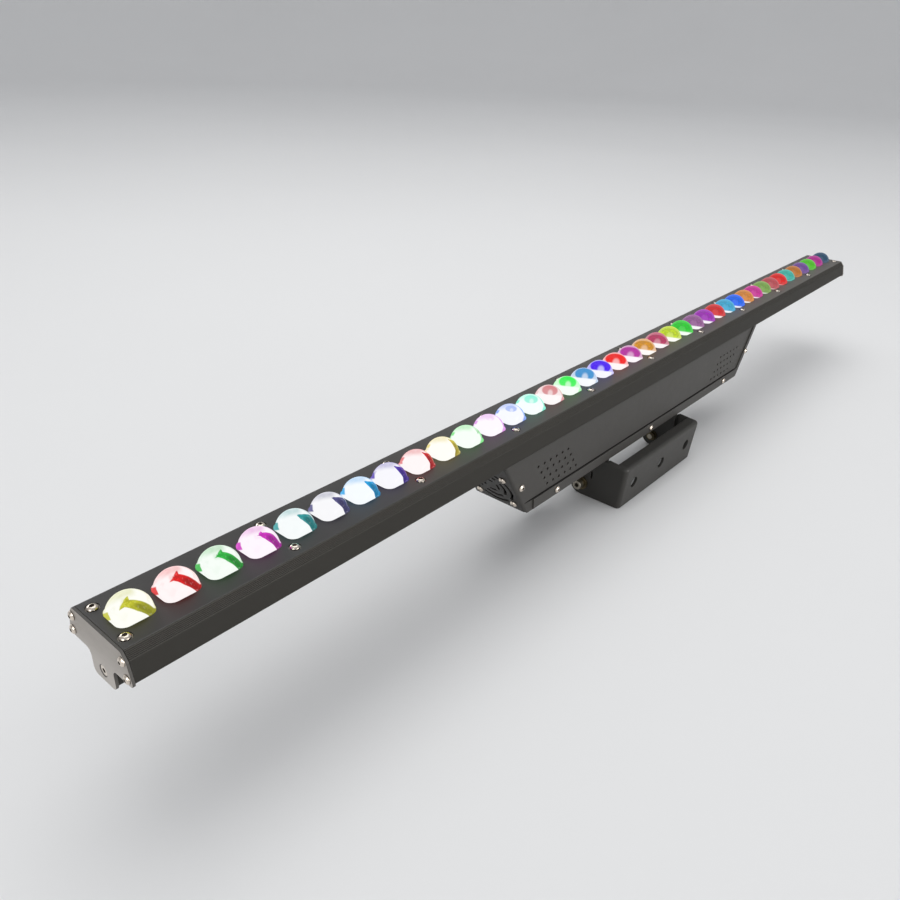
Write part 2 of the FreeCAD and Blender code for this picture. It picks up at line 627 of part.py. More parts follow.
def housing_cover():
    """Floor, right sloped end and the lips that lap the shell."""
    def rounded(mid, run):
        if abs(run.z) > 0.5:
            return mid.x > 0
        if abs(run.y) > 0.9:
            return mid.z <= -40 and mid.x > 0
        return mid.z <= -40

    lip_y = HOUSING_Y + COVER_T
    floor_top = HOUSING_BOTTOM_Z + COVER_T
    lip_left_x = -184.0
    outer = trapezoid(lip_y, HOUSING_TOP_Z, HOUSING_BOTTOM_Z, 0.0, 0.0)
    inner = trapezoid(HOUSING_Y, HOUSING_TOP_Z + 4, floor_top, -12.0, COVER_T)
    cover = fillet(outer, 2.2, rounded).cut(inner)
    # what is kept: the long lips, the floor between the sheets, the end and its lips
    keep_lips = prism_xz([(lip_left_x, LIP_TOP_Z), (260, LIP_TOP_Z), (260, -90),
                          (lip_left_x + 3.5, -90), (lip_left_x + 1.0, HOUSING_BOTTOM_Z)],
                         -40, 40)
    keep_floor = prism_xz([(-slope_x(floor_top, SHELL_T), floor_top), (0, floor_top),
                           (0, -90), (-slope_x(-90), -90)], -HOUSING_Y, HOUSING_Y)
    keep_end = prism_xz([(slope_x(-10, LIP_END_W), -10), (260, -10), (260, -90),
                         (slope_x(-90, LIP_END_W), -90)], -40, 40)
    cover = cover.common(fuse([keep_lips, keep_floor, keep_end]))
    cuts = grille(1, COVER_T / 2)
    fixings = [(x, LIP_SCREW_Z) for x in LIP_SCREW_X] + [(END_SCREW_RIGHT_X, END_SCREW_Z)]
    cuts += [cylinder(1.6, 6, (x, side * (HOUSING_Y - 0.5), z), (0, side, 0))
             for side in SIDES for x, z in fixings]
    cuts += [cylinder(FLOOR_HOLE_R, 6, (x, y, HOUSING_BOTTOM_Z - 2))
             for x, y in BRACKET_SCREWS + LUG_SCREWS]
    cover = cut_all(cover, cuts)
    # tapered left tips of the long lips
    limit = prism_xz([(-slope_x(LIP_TOP_Z + 5, 0.6), LIP_TOP_Z + 5), (0, LIP_TOP_Z + 5),
                      (0, -80), (-slope_x(-80, 0.6), -80)], -40, 40)
    tip_x = lip_left_x - 0.05
    for side in SIDES:
        wedge = prism_xy([(tip_x, side * HOUSING_Y), (tip_x, side * lip_y),
                          (-199.0, side * HOUSING_Y)], floor_top, LIP_TOP_Z)
        cover = cover.fuse(wedge.common(limit))
    return largest(cover.removeSplitter())


def housing_gasket():
    """Foam strips between the extrusion and the housing roof."""
    strips = []
    for side in (1, -1):
        y0, y1 = sorted((side * 12.2, side * 22.0))
        strip = box(-195, 195, y0, y1, HOUSING_TOP_Z, FLOOR_BOTTOM_Z)
        strips.append(cut_all(strip, [cylinder(2.2, 4, (x, side * HOUSING_SCREW_Y, -20))
                                      for x in HOUSING_SCREW_X]))
    return Part.makeCompound(strips)


def housing_mount_screws():
    screw = button_screw(head_r=3.3, head_h=2.0, shank_r=MOUNT_SHANK_R, length=8.5,
                         socket=2.5, depth=1.2)
    return Part.makeCompound([turned(screw, (x, y, HOUSING_TOP_Z - SHELL_T), (0, 0, -1))
                              for x, y in HOUSING_SCREWS])


def cover_screws():
    screw = button_screw(head_r=2.85, head_h=1.75, shank_r=COVER_SHANK_R, length=3.8,
                         socket=2.0, depth=1.0)
    lip_y = HOUSING_Y + COVER_T
    seats = [(x, lip_y, LIP_SCREW_Z) for x in LIP_SCREW_X]
    seats += [(END_SCREW_RIGHT_X, lip_y, END_SCREW_Z),
              (END_SCREW_LEFT_X, HOUSING_Y, END_SCREW_Z)]
    return Part.makeCompound([turned(screw, (x, side * y, z), (0, side, 0))
                              for side in SIDES for x, y, z in seats])


# ---------------------------------------------------------------- fans
# Drawn with the outward face at Z=0 and the body towards -Z.
BLADE_COUNT = 7
# blade sections at the hub and near the bore: X, then corners as Y, Z
BLADE_SECTIONS = [(9.0, [(-3.6, -7.4), (-3.0, -7.4), (3.9, -1.2), (3.3, -1.2)]),
                  (18.2, [(-5.6, -6.6), (-5.0, -6.6), (4.6, -1.6), (4.0, -1.6)])]


def fan_frame():
    frame = rounded_prism(40, 40, 3.2, -10, 0).cut(cylinder(18.9, 12, (0, 0, -11)))
    parts = [frame, cylinder(10.5, 1.6, (0, 0, -10))]
    parts += [spun(box(9.5, 19.5, -1.3, 1.3, -10, -8.4), angle + 45)
              for angle in (0, 90, 180, 270)]
    parts.append(cylinder(2.4, 4.2, (0, 0, -8.6)))
    frame = fuse(parts).cut(cylinder(1.06, 12, (0, 0, -11)))
    return cut_all(frame, [cylinder(1.75, 12, (x, y, -11)) for x, y in FAN_HOLES])


def fan_rotor():
    hub = cylinder(9.6, 7.4, (0, 0, -8.0)).cut(cylinder(8.4, 6.4, (0, 0, -8.1)))
    hub = fillet(hub, 0.8, edges(z=-0.6))
    parts = [hub, cylinder(1.0, 7.2, (0, 0, -8.2))]
    for k in range(BLADE_COUNT):
        wires = [Part.makePolygon([Vector(x, y, z) for y, z in corners + corners[:1]])
                 for x, corners in BLADE_SECTIONS]
        blade = Part.makeLoft(wires, True, True).common(cylinder(18.1, 12, (0, 0, -11)))
        parts.append(spun(blade, 360.0 * k / BLADE_COUNT))
    return fuse(parts)


def fan_screws():
    screw = button_screw(head_r=2.9, head_h=1.9, shank_r=1.5, length=11.5,
                         socket=2.0, depth=1.0)
    return Part.makeCompound([on_slope(turned(screw, (x, y, 0)), side, 0.0)
                              for side in SIDES for x, y in FAN_HOLES])


# ---------------------------------------------------------------- electronics
def upright_board(span, screws):
    board = box(*span, *UPRIGHT_Y, *UPRIGHT_Z)
    return cut_all(board, [cylinder(1.3, 4, (x, UPRIGHT_Y[0] - 1, z), Y_AXIS)
                           for x, z in screws])


def psu_board():
    """Supply board with a finned heat sink along its lower edge."""
    y = UPRIGHT_Y[1]
    sink = [box(-148, -104, y, y + 2, -57.5, -54)]
    sink += [box(-148 + 6 * k, -146 + 6 * k, y, -6, -57.5, -54) for k in range(8)]
    return fuse([upright_board(PSU_X, PSU_SCREWS)] + sink)


def driver_board():
    y = UPRIGHT_Y[1]
    chips = []
    for k in range(CHANNEL_COUNT):
        x = CHANNEL_X0 + CHANNEL_PITCH * k
        chips.append(box(x, x + 7, y, y + 1.6, -38, -32))
    return fuse([upright_board(DRIVER_X, DRIVER_SCREWS)] + chips)


def board_standoffs():
    y = -(HOUSING_Y - SHELL_T)
    return Part.makeCompound([
        cylinder(2.6, UPRIGHT_Y[0] - y, (x, y, z), Y_AXIS).cut(
            cylinder(SMALL_SHANK_R + SHANK_GAP, 5, (x, y - 1, z), Y_AXIS))
        for x, z in PSU_SCREWS + DRIVER_SCREWS])


def psu_transformer():
    y = UPRIGHT_Y[1]
    core = fillet(box(-95, -68, y, -1.0, -56, -30), 1.0, edges(along="y"))
    return fuse([core, box(-98, -65, y, y + 3, -57.5, -28.5)])


def psu_capacitors():
    # radius, length, X, Z
    cans = [(7.5, 17, -120, -38), (7.5, 17, -136, -44), (4.0, 14, -52, -34),
            (4.0, 14, -52, -46), (4.0, 14, -42, -40)]
    return Part.makeCompound([cylinder(radius, length, (x, UPRIGHT_Y[1], z), Y_AXIS)
                              for radius, length, x, z in cans])


def driver_inductors():
    y = UPRIGHT_Y[1]
    inductors = []
    for k in range(CHANNEL_COUNT):
        x = CHANNEL_X0 + CHANNEL_PITCH * k
        inductors.append(fillet(box(x, x + 10, y, y + 6, -52, -42), 0.8, edges(along="y")))
    return Part.makeCompound(inductors)


def driver_terminals():
    y = UPRIGHT_Y[1]
    starts = [TERMINAL_X0 + TERMINAL_PITCH * k for k in range(len(FEED_X))]
    return Part.makeCompound([box(x, x + TERMINAL_W, y, y + TERMINAL_DEPTH, -30.5, -25)
                              for x in starts])


def tube(points, radius):
    """Straight runs between the points, with a ball at each bend."""
    points = [Vector(*p) for p in points]
    pieces = []
    for start, end in zip(points, points[1:]):
        run = end.sub(start)
        pieces.append(Part.makeCylinder(radius, run.Length, start, run))
    pieces += [Part.makeSphere(radius, p) for p in points[1:-1]]
    return fuse(pieces)


def feed_cables():
    """From the driver terminals up through the bar's floor to the LED boards."""
    cable_z = -27.5
    cables = []
    for k, (x, lane_y) in enumerate(zip(FEED_X, (-4.5, -0.5, 3.5))):
        terminal_x = TERMINAL_X0 + TERMINAL_PITCH * k + TERMINAL_W / 2
        cables.append(tube([(terminal_x, UPRIGHT_Y[1] + TERMINAL_DEPTH, cable_z),
                            (terminal_x, lane_y, cable_z), (x, lane_y, cable_z),
                            (x, 0, -24.0), (x, 0, FLOOR_TOP_Z + 3.0)], 1.6))
    return Part.makeCompound(cables)


def floor_grommets():
    grommet = fuse([ring(4.45, 1.75, 2.0, (0, 0, 0)), ring(6.0, 1.75, 1.0, (0, 0, -1.0))])
    return Part.makeCompound([turned(grommet, (x, 0, FLOOR_BOTTOM_Z)) for x in FEED_X])


# ---------------------------------------------------------------- rear control panel
def rear_plate(x, half_x, z, half_z, thickness, edge_r):
    """Plate on the rear sheet with rounded corners and a softened outer edge."""
    outer_y = HOUSING_Y + thickness
    plate = box(x - half_x, x + half_x, HOUSING_Y, outer_y, z - half_z, z + half_z)
    plate = fillet(plate, 2.5, edges(along="y"))
    return fillet(plate, edge_r, edges(y=outer_y))


def window_box(grow, y0, y1):
    return box(WINDOW_X[0] - grow, WINDOW_X[1] + grow, y0, y1,
               WINDOW_Z[0] - grow, WINDOW_Z[1] + grow)


def control_panel():
    panel = rear_plate(0, PANEL_W / 2, PANEL_Z, PANEL_H / 2, PANEL_T, 0.5)
    cuts = [window_box(0, HOUSING_Y - 1, PANEL_OUTER_Y + 1),
            window_box(1.5, HOUSING_Y - 1, HOUSING_Y + 1.0)]
    cuts += [cylinder(BUTTON_R + 0.08, 6, (x, HOUSING_Y - 2, z), Y_AXIS)
             for x, z in BUTTONS.values()]
    cuts += [cylinder(1.35, 6, (x, HOUSING_Y - 2, z), Y_AXIS) for x, z in PANEL_SCREWS]
    return cut_all(panel, cuts)


def display_window():
    return fuse([window_box(1.4, HOUSING_Y - 0.4, HOUSING_Y + 1.0),
                 window_box(-0.1, HOUSING_Y, PANEL_OUTER_Y - 0.2)])


def display_module():
    return box(WINDOW_X[0] + 1.6, WINDOW_X[1] + 1.0, CONTROL_Y[1], HOUSING_Y - 0.6,
               WINDOW_Z[0] + 0.4, WINDOW_Z[1] - 0.4)


def control_board():
    """Board with four posts and a switch behind each button."""
    rear = CONTROL_Y[1]
    posts = [cylinder(2.0, HOUSING_Y - rear - 0.6, (x, rear, z), Y_AXIS)
             for x, z in rectangle(34.5, 11.0, PANEL_Z)]
    board = fuse([box(-37, 37, *CONTROL_Y, PANEL_Z - 13, PANEL_Z + 13)] + posts)
    switches = [fuse([box(x - 3, x + 3, rear - 0.1, SWITCH_BODY_Y, z - 3, z + 3),
                      cylinder(1.7, SWITCH_STEM, (x, SWITCH_BODY_Y, z), Y_AXIS)])
                for x, z in BUTTONS.values()]
    return fuse([board] + switches)


def button(x, z):
    """Cap with a retaining collar and a stem towards its switch."""
    proud, sunk = 3.3, 1.0
    cap = cylinder(BUTTON_R, proud + sunk, (x, HOUSING_Y - sunk, z), Y_AXIS)
    cap = fillet(cap, 0.6, edges(y=HOUSING_Y + proud))
    collar = cylinder(BUTTON_R + 0.9, 0.8, (x, HOUSING_Y - 0.8 - 0.02, z), Y_AXIS)
    stem = cylinder(1.5, 1.3, (x, SWITCH_BODY_Y + SWITCH_STEM + 0.9, z), Y_AXIS)
    return fuse([cap, collar, stem])


# ---------------------------------------------------------------- rear sockets
def socket_cylinder(radius, length, x, inset, z=SOCKET_Z):
    """Cylinder towards the rear, starting inset mm inside the rear sheet's face."""
    return cylinder(radius, length, (x, HOUSING_Y - inset, z), Y_AXIS)


def pin_circle(x, radius, length, circle_r, inset, angles):
    pins = []
    for angle in angles:
        turn = math.radians(angle)
        pins.append(socket_cylinder(radius, length, x + circle_r * math.cos(turn), inset,
                                    SOCKET_Z + circle_r * math.sin(turn)))
    return pins


def socket_body(x):
    """Flange and barrel, as a list to fuse."""
    flange = rear_plate(x, 13, SOCKET_Z, 15.5, SOCKET_FLANGE_T, 0.6)
    flange = cut_all(flange, [cylinder(1.6, 6, (screw_x, HOUSING_Y - 2, z), Y_AXIS)
                              for screw_x, z in socket_screws(x)])
    return [flange, socket_cylinder(SOCKET_BODY_R, SOCKET_BODY_L, x, SOCKET_BODY_INSET)]


def power_socket(x, key_side):
    """Round socket with three pin holes; the key is above (1) or below (-1) the core."""
    collar = ring(12.4, 10.0, 3.6, (x, HOUSING_Y + 1.0, SOCKET_Z), Y_AXIS)
    body = fuse(socket_body(x) + [collar]).cut(socket_cylinder(10.2, 15.0, x, 10.0))
    core = socket_cylinder(7.2, 11.0, x, 11.0)
    core = cut_all(core, pin_circle(x, 1.5, 14, 4.2, 5, (90, 210, 330)))
    z0, z1 = sorted((SOCKET_Z + key_side * 6.5, SOCKET_Z + key_side * 10.6))
    key = box(x - 1.5, x + 1.5, HOUSING_Y - 10.5, HOUSING_Y + 1.5, z0, z1)
    return fuse([body, core, key])


def data_in():
    """Recessed five-pin male socket."""
    x = SOCKETS["data_in"]
    body = fuse(socket_body(x)).cut(socket_cylinder(9.4, 16.0, x, 12.0))
    return fuse([body] + pin_circle(x, 1.2, 11.0, 5.4, 12.0, (198, 234, 270, 306, 342)))


LATCH_HALF_X = 3.4


def data_out():
    """Five-pin female socket with a slot for its push latch."""
    x = SOCKETS["data_out"]
    body = fuse(socket_body(x))
    body = body.cut(ring(10.6, 8.3, 15.0, (x, HOUSING_Y - 10.0, SOCKET_Z), Y_AXIS))
    body = cut_all(body, pin_circle(x, 1.35, 20.0, 5.0, 9.0, (18, 54, 90, 126, 162)))
    half = LATCH_HALF_X + 0.1
    return body.cut(box(x - half, x + half, HOUSING_Y - 1.6, HOUSING_Y + 4,
                        SOCKET_Z + 8.7, SOCKET_Z + 11.5))


def data_out_latch():
    x = SOCKETS["data_out"]
    latch = box(x - LATCH_HALF_X, x + LATCH_HALF_X, HOUSING_Y - 0.1, HOUSING_Y + 3.6,
                SOCKET_Z + 8.8, SOCKET_Z + 11.4)
    return fillet(latch, 0.5, edges(y=HOUSING_Y + 3.6))


def small_screws():
    """The one size of screw used for boards, control panel and sockets."""
    screw = button_screw(head_r=2.4, head_h=1.4, shank_r=SMALL_SHANK_R, length=4.8,
                         socket=1.6, depth=0.8)
    seats = [(x, UPRIGHT_Y[1], z) for x, z in PSU_SCREWS + DRIVER_SCREWS]
    seats += [(x, PANEL_OUTER_Y, z) for x, z in PANEL_SCREWS]
    seats += [(x, HOUSING_Y + SOCKET_FLANGE_T, z)
              for socket_x in SOCKETS.values() for x, z in socket_screws(socket_x)]
    return Part.makeCompound([turned(screw, seat, Y_AXIS) for seat in seats])


# ---------------------------------------------------------------- under the housing
def pivot_bracket():
    """Inverted channel whose two end tabs taper to round pivot ends."""
    centre = (0, PIVOT_Z)
    start = tangent_angle((-TAB_HALF_Y, TAB_SIDE_END_Z), centre, TAB_R, 1)
    end = tangent_angle((TAB_HALF_Y, TAB_SIDE_END_Z), centre, TAB_R, -1) + 360
    outline = [(-TAB_HALF_Y, HOUSING_BOTTOM_Z), (-TAB_HALF_Y, TAB_SIDE_END_Z)]
    outline += arc_points(centre, TAB_R, start, end, 16)
    outline += [(TAB_HALF_Y, TAB_SIDE_END_Z), (TAB_HALF_Y, HOUSING_BOTTOM_Z)]
    bracket = prism_yz(outline, -TAB_OUTER_X, TAB_OUTER_X)
    bracket = fillet(bracket, 3.2, edges(along="y", z=HOUSING_BOTTOM_Z))
    inner = box(-TAB_OUTER_X + TAB_T, TAB_OUTER_X - TAB_T, -40, 40, -130, BRACKET_INNER_Z)
    inner = fillet(inner, 0.8, edges(along="y", z=BRACKET_INNER_Z))
    cuts = [cylinder(BOLT_HOLE_R, 200, (-100, 0, PIVOT_Z), X_AXIS)]
    cuts += [cylinder(FLOOR_HOLE_R, 8, (x, y, BRACKET_INNER_Z - 2))
             for x, y in BRACKET_SCREWS]
    return cut_all(bracket.cut(inner), cuts)


def backing_plate():
    """Stiffening plate inside the cover that takes the bracket screws."""
    z = HOUSING_BOTTOM_Z + COVER_T
    return cut_all(box(-60, 60, -18, 18, z, z + 2.5),
                   [cylinder(MOUNT_SHANK_R + SHANK_GAP, 8, (x, y, HOUSING_BOTTOM_Z - 1))
                    for x, y in BRACKET_SCREWS])


def safety_lug():
    """Angle at the rear of the housing floor, with a large hole in its hanging leg."""
    x0, x1 = LUG_X - LUG_HALF_X, LUG_X + LUG_HALF_X
    top = HOUSING_BOTTOM_Z
    lug = fuse([box(x0, x1, -3, LUG_REAR_Y, top - LUG_T, top),
                box(x0, x1, LUG_REAR_Y - LUG_T, LUG_REAR_Y, top - 27, top)])
    lug = fillet(lug, 6.0, lambda mid, run: abs(run.y) > 0.9 and mid.z < top - 20)
    lug = fillet(lug, 2.0, lambda mid, run: (abs(run.x) > 0.9 and abs(mid.z - top) < 1e-6
                                             and mid.y > 10))
    cuts = [cylinder(6.5, 10, (LUG_X, 14, top - 16), Y_AXIS)]
    cuts += [cylinder(FLOOR_HOLE_R, 10, (x, y, top - 5)) for x, y in LUG_SCREWS]
    return cut_all(lug, cuts)


def floor_screws():
    screw = button_screw(head_r=3.6, head_h=2.1, shank_r=MOUNT_SHANK_R, length=7.0,
                         socket=2.5, depth=1.2)
    seats = [(x, y, BRACKET_INNER_Z) for x, y in BRACKET_SCREWS]
    seats += [(x, y, HOUSING_BOTTOM_Z - LUG_T) for x, y in LUG_SCREWS]
    return Part.makeCompound([turned(screw, seat, (0, 0, -1)) for seat in seats])


def lug_nuts():
    nut = hexagon(7.0, 0, 3.0).cut(cylinder(MOUNT_SHANK_R + SHANK_GAP, 5, (0, 0, -1)))
    return Part.makeCompound([turned(nut, (x, y, HOUSING_BOTTOM_Z + COVER_T))
                              for x, y in LUG_SCREWS])


# ---------------------------------------------------------------- pivot hardware
def at_pivots(shape, x):
    """The shape at both pivots, its +Z turned outwards from distance x."""
    return Part.makeCompound([turned(shape, (side * x, 0, PIVOT_Z), (side, 0, 0))
                              for side in SIDES])


def pivot_ring(outer, inner, height, x, side):
    return ring(outer, inner, height, (side * x, 0, PIVOT_Z), (side, 0, 0))


def pivot_bolts():
    bolt = cap_screw(head_r=4.2, head_h=5.0, shank_r=BOLT_R, length=13.4,
                     socket=4.0, depth=2.8)
    return at_pivots(bolt, YOKE_X + PIVOT_WASHER_T + SMALL_WASHER_T)


def pivot_washers():
    washers = []
    for side in SIDES:
        washers.append(pivot_ring(6.4, BOLT_HOLE_R, PIVOT_WASHER_T, YOKE_X, side))
        washers.append(pivot_ring(4.6, BOLT_HOLE_R, SMALL_WASHER_T,
                                  YOKE_X + PIVOT_WASHER_T, side))
    return Part.makeCompound(washers)


def pivot_nuts():
    nut = fuse([hexagon(8.0, 0, PIVOT_NUT_H), cylinder(5.2, 1.0, (0, 0, 3.0))])
    nut = nut.cut(cylinder(BOLT_R + 0.02, 8, (0, 0, -2)))
    return at_pivots(nut, TAB_OUTER_X - TAB_T - PIVOT_NUT_H)


def friction_discs():
    gap = YOKE_X - YOKE_T - TAB_OUTER_X
    return Part.makeCompound([pivot_ring(10.0, BOLT_HOLE_R, gap, TAB_OUTER_X, side)
                              for side in SIDES])


def yoke_bushes():
    """Bearing sleeves, a little shorter than the arm is thick so they never drag."""
    return Part.makeCompound([pivot_ring(3.44, BOLT_HOLE_R, YOKE_T - 2 * BUSH_GAP,
                                         YOKE_X - YOKE_T + BUSH_GAP, side)
                              for side in SIDES])


# ---------------------------------------------------------------- yoke
WEB_SIN, WEB_COS = math.sin(math.radians(WEB_TILT)), math.cos(math.radians(WEB_TILT))


def web_point(up, back):
    """Y, Z of a point up the web from the hanging holes and back from its outer face."""
    return (HANG_Y - WEB_SIN * up + WEB_COS * back, HANG_Z + WEB_COS * up + WEB_SIN * back)


def yoke_envelope():
    """Solid outer form of the web and both arms."""
    top_front = web_point(WEB_UP, 0)
    top_back = web_point(WEB_UP, ARM_TOP_DEPTH)
    bottom_front = web_point(WEB_DOWN, 0)
    centre = (0, PIVOT_Z)
    top_angle = tangent_angle(top_back, centre, PIVOT_END_R, -1)
    outline = [top_front, bottom_front, (bottom_front[0] + 1.0, PIVOT_Z - PIVOT_END_R)]
    outline += arc_points(centre, PIVOT_END_R, -90, top_angle, 14)
    outline.append(top_back)
    web_mid_y = (bottom_front[0] + top_front[0]) / 2

    def web_ends(mid, run):
        return (abs(run.x) < 0.1 and abs(abs(mid.x) - YOKE_X) < 1e-4
                and abs(mid.y - web_mid_y) < 0.5)

    def web_top(mid, run):
        return (abs(run.x) > 0.9 and abs(mid.y - top_front[0]) < 0.6
                and abs(mid.z - top_front[1]) < 0.6)

    envelope = fillet(prism_yz(outline, -YOKE_X, YOKE_X), 3.8, web_ends)
    return fillet(envelope, 3.3, web_top)


def yoke():
    envelope = yoke_envelope()
    inner_x = YOKE_X - YOKE_T

    def inner_web_ends(mid, run):
        return (abs(run.x) < 0.1 and abs(abs(mid.x) - inner_x) < 1e-4 and mid.y < -35)

    hollow = prism_yz([web_point(60, YOKE_T), web_point(-60, YOKE_T), (60, -200), (60, 0)],
                      -inner_x, inner_x)
    body = envelope.cut(fillet(hollow, 1.3, inner_web_ends))
    # stiffening return folded back along the top of the web, closed against both arms
    fold = [web_point(WEB_UP, YOKE_T * 0.5), web_point(WEB_UP, RETURN_DEPTH),
            web_point(WEB_UP - YOKE_T, RETURN_DEPTH), web_point(WEB_UP - YOKE_T, YOKE_T * 0.5)]
    body = fuse([body, prism_yz(fold, -inner_x - 0.3, inner_x + 0.3).common(envelope)])
    cuts = [cylinder(HANG_R, 14, (k * HANG_SPACING, *web_point(0, -5)),
                     (0, WEB_COS, WEB_SIN)) for k in (-1, 0, 1)]
    cuts.append(cylinder(3.5, 200, (-100, 0, PIVOT_Z), X_AXIS))
    # tilt index slots beside the pivot
    cuts.append(fuse([box(-100, 100, INDEX_Y - INDEX_R, INDEX_Y + INDEX_R, *INDEX_Z)]
                     + [cylinder(INDEX_R, 200, (-100, INDEX_Y, z), X_AXIS)
                        for z in INDEX_Z]))
    return cut_all(body, cuts)


# ---------------------------------------------------------------- build and write
pieces = {
    "led_boards": module_strips(49.0, 11.7, FLOOR_TOP_Z + PAD_T, BOARD_TOP, 3.4),
    "thermal_pads": module_strips(48.5, 11.2, FLOOR_TOP_Z, FLOOR_TOP_Z + PAD_T, 3.9),
    "power_in": power_socket(SOCKETS["power_in"], 1),
    "power_out": power_socket(SOCKETS["power_out"], -1),
}
for name, side, sheet in (("left", -1, SHELL_T), ("right", 1, COVER_T)):
    pieces["end_plate_" + name] = end_plate(side)
    pieces["fan_frame_" + name] = on_slope(fan_frame(), side, sheet)
    pieces["fan_rotor_" + name] = on_slope(fan_rotor(), side, sheet)
for name, (x, z) in BUTTONS.items():
    pieces[name] = button(x, z)
# the remaining pieces are named after the functions that build them
for build in (top_plate, plate_gasket, plate_screws, plate_washers, extrusion_body,
              led_emitters, lens_holders, lenses, board_jumpers,
              end_gaskets, end_screws, boss_screws,
              housing_shell, housing_cover, housing_gasket, housing_mount_screws,
              cover_screws, fan_screws,
              psu_board, driver_board, board_standoffs, psu_transformer, psu_capacitors,
              driver_inductors, driver_terminals, feed_cables, floor_grommets,
              control_panel, display_window, display_module, control_board,
              data_in, data_out, data_out_latch, small_screws,
              pivot_bracket, backing_plate, safety_lug, floor_screws, lug_nuts,
              pivot_bolts, pivot_washers, pivot_nuts, friction_discs, yoke_bushes, yoke):
    pieces[build.__name__] = build()

os.makedirs("parts", exist_ok=True)
for file_name in os.listdir("parts"):
    if file_name.endswith(".step"):
        os.remove(os.path.join("parts", file_name))
for name, shape in pieces.items():
    placed = shape.copy()
    placed.translate(Vector(0, -HANG_Y, -HANG_Z))
    placed.exportStep(os.path.join("parts", name + ".step"))
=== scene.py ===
import bpy
import bmesh
import json
import math
import random
from mathutils import Matrix, Vector

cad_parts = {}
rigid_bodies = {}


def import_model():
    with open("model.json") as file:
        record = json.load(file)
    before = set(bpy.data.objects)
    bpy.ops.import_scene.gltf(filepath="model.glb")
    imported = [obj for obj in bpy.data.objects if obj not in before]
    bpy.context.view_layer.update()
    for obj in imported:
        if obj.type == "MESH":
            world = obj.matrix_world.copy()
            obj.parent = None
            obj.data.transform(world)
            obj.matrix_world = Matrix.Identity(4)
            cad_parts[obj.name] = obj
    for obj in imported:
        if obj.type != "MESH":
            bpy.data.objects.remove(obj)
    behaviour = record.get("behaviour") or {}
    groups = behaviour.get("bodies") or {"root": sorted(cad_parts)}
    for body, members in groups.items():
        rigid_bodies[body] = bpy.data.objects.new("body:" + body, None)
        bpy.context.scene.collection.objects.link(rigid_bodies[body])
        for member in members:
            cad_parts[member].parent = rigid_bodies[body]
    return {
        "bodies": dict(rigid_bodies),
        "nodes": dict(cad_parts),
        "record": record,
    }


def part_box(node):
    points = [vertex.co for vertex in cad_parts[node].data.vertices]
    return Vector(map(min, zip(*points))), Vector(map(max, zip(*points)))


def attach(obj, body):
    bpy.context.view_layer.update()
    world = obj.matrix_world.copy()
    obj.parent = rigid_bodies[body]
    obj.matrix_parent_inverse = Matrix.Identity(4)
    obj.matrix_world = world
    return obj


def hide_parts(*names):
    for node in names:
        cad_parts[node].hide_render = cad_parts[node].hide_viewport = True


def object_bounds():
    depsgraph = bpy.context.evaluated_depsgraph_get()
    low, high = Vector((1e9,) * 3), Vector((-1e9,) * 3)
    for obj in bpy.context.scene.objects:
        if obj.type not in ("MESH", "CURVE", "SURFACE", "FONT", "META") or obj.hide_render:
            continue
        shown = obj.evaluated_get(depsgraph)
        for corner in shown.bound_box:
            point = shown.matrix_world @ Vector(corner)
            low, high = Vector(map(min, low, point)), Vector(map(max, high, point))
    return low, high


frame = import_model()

lo0, hi0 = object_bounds()
NODES = frame["nodes"]
MM = 0.001
OY, OZ = 41.2, 95.0            # working frame (lens plate surface at zero) to row frame, mm
random.seed(7)


def W(x, y, z):
    """A point given in mm in the lens-plate frame, as a row-frame vector in metres."""
    return Vector((x * MM, (y + OY) * MM, (z + OZ) * MM))


# ------------------------------------------------------------------ node helpers
class Ex:
    """A scalar socket that can be used in arithmetic."""
    nt = None

    def __init__(self, s):
        self.s = s

    @staticmethod
    def m(op, *a, clamp=False):
        n = Ex.nt.nodes.new("ShaderNodeMath")
        n.operation = op
        n.use_clamp = clamp
        for i, v in enumerate(a):
            if isinstance(v, Ex):
                Ex.nt.links.new(v.s, n.inputs[i])
            else:
                n.inputs[i].default_value = float(v)
        return Ex(n.outputs[0])

    def __add__(self, o): return Ex.m("ADD", self, o)
    def __radd__(self, o): return Ex.m("ADD", o, self)
    def __sub__(self, o): return Ex.m("SUBTRACT", self, o)
    def __rsub__(self, o): return Ex.m("SUBTRACT", o, self)
    def __mul__(self, o): return Ex.m("MULTIPLY", self, o)
    def __rmul__(self, o): return Ex.m("MULTIPLY", o, self)
    def __truediv__(self, o): return Ex.m("DIVIDE", self, o)
    def __rtruediv__(self, o): return Ex.m("DIVIDE", o, self)


def e_abs(x): return Ex.m("ABSOLUTE", x)
def e_sqrt(x): return Ex.m("SQRT", x)
def e_min(a, b): return Ex.m("MINIMUM", a, b)
def e_max(a, b): return Ex.m("MAXIMUM", a, b)


def e_clamp(x, a, b):
    return e_min(e_max(x, a), b)


def e_step(x, a, b, ra=0.0, rb=1.0):
    """Smooth step of x from a to b, giving ra to rb. a may be above b."""
    n = Ex.nt.nodes.new("ShaderNodeMapRange")
    n.interpolation_type = "SMOOTHSTEP"
    if not isinstance(a, Ex) and not isinstance(b, Ex) and a > b:
        a, b, ra, rb = b, a, rb, ra
    for key, v in (("Value", x), ("From Min", a), ("From Max", b), ("To Min", ra), ("To Max", rb)):
        if isinstance(v, Ex):
            Ex.nt.links.new(v.s, n.inputs[key])
        else:
            n.inputs[key].default_value = float(v)
    return Ex(n.outputs[0])


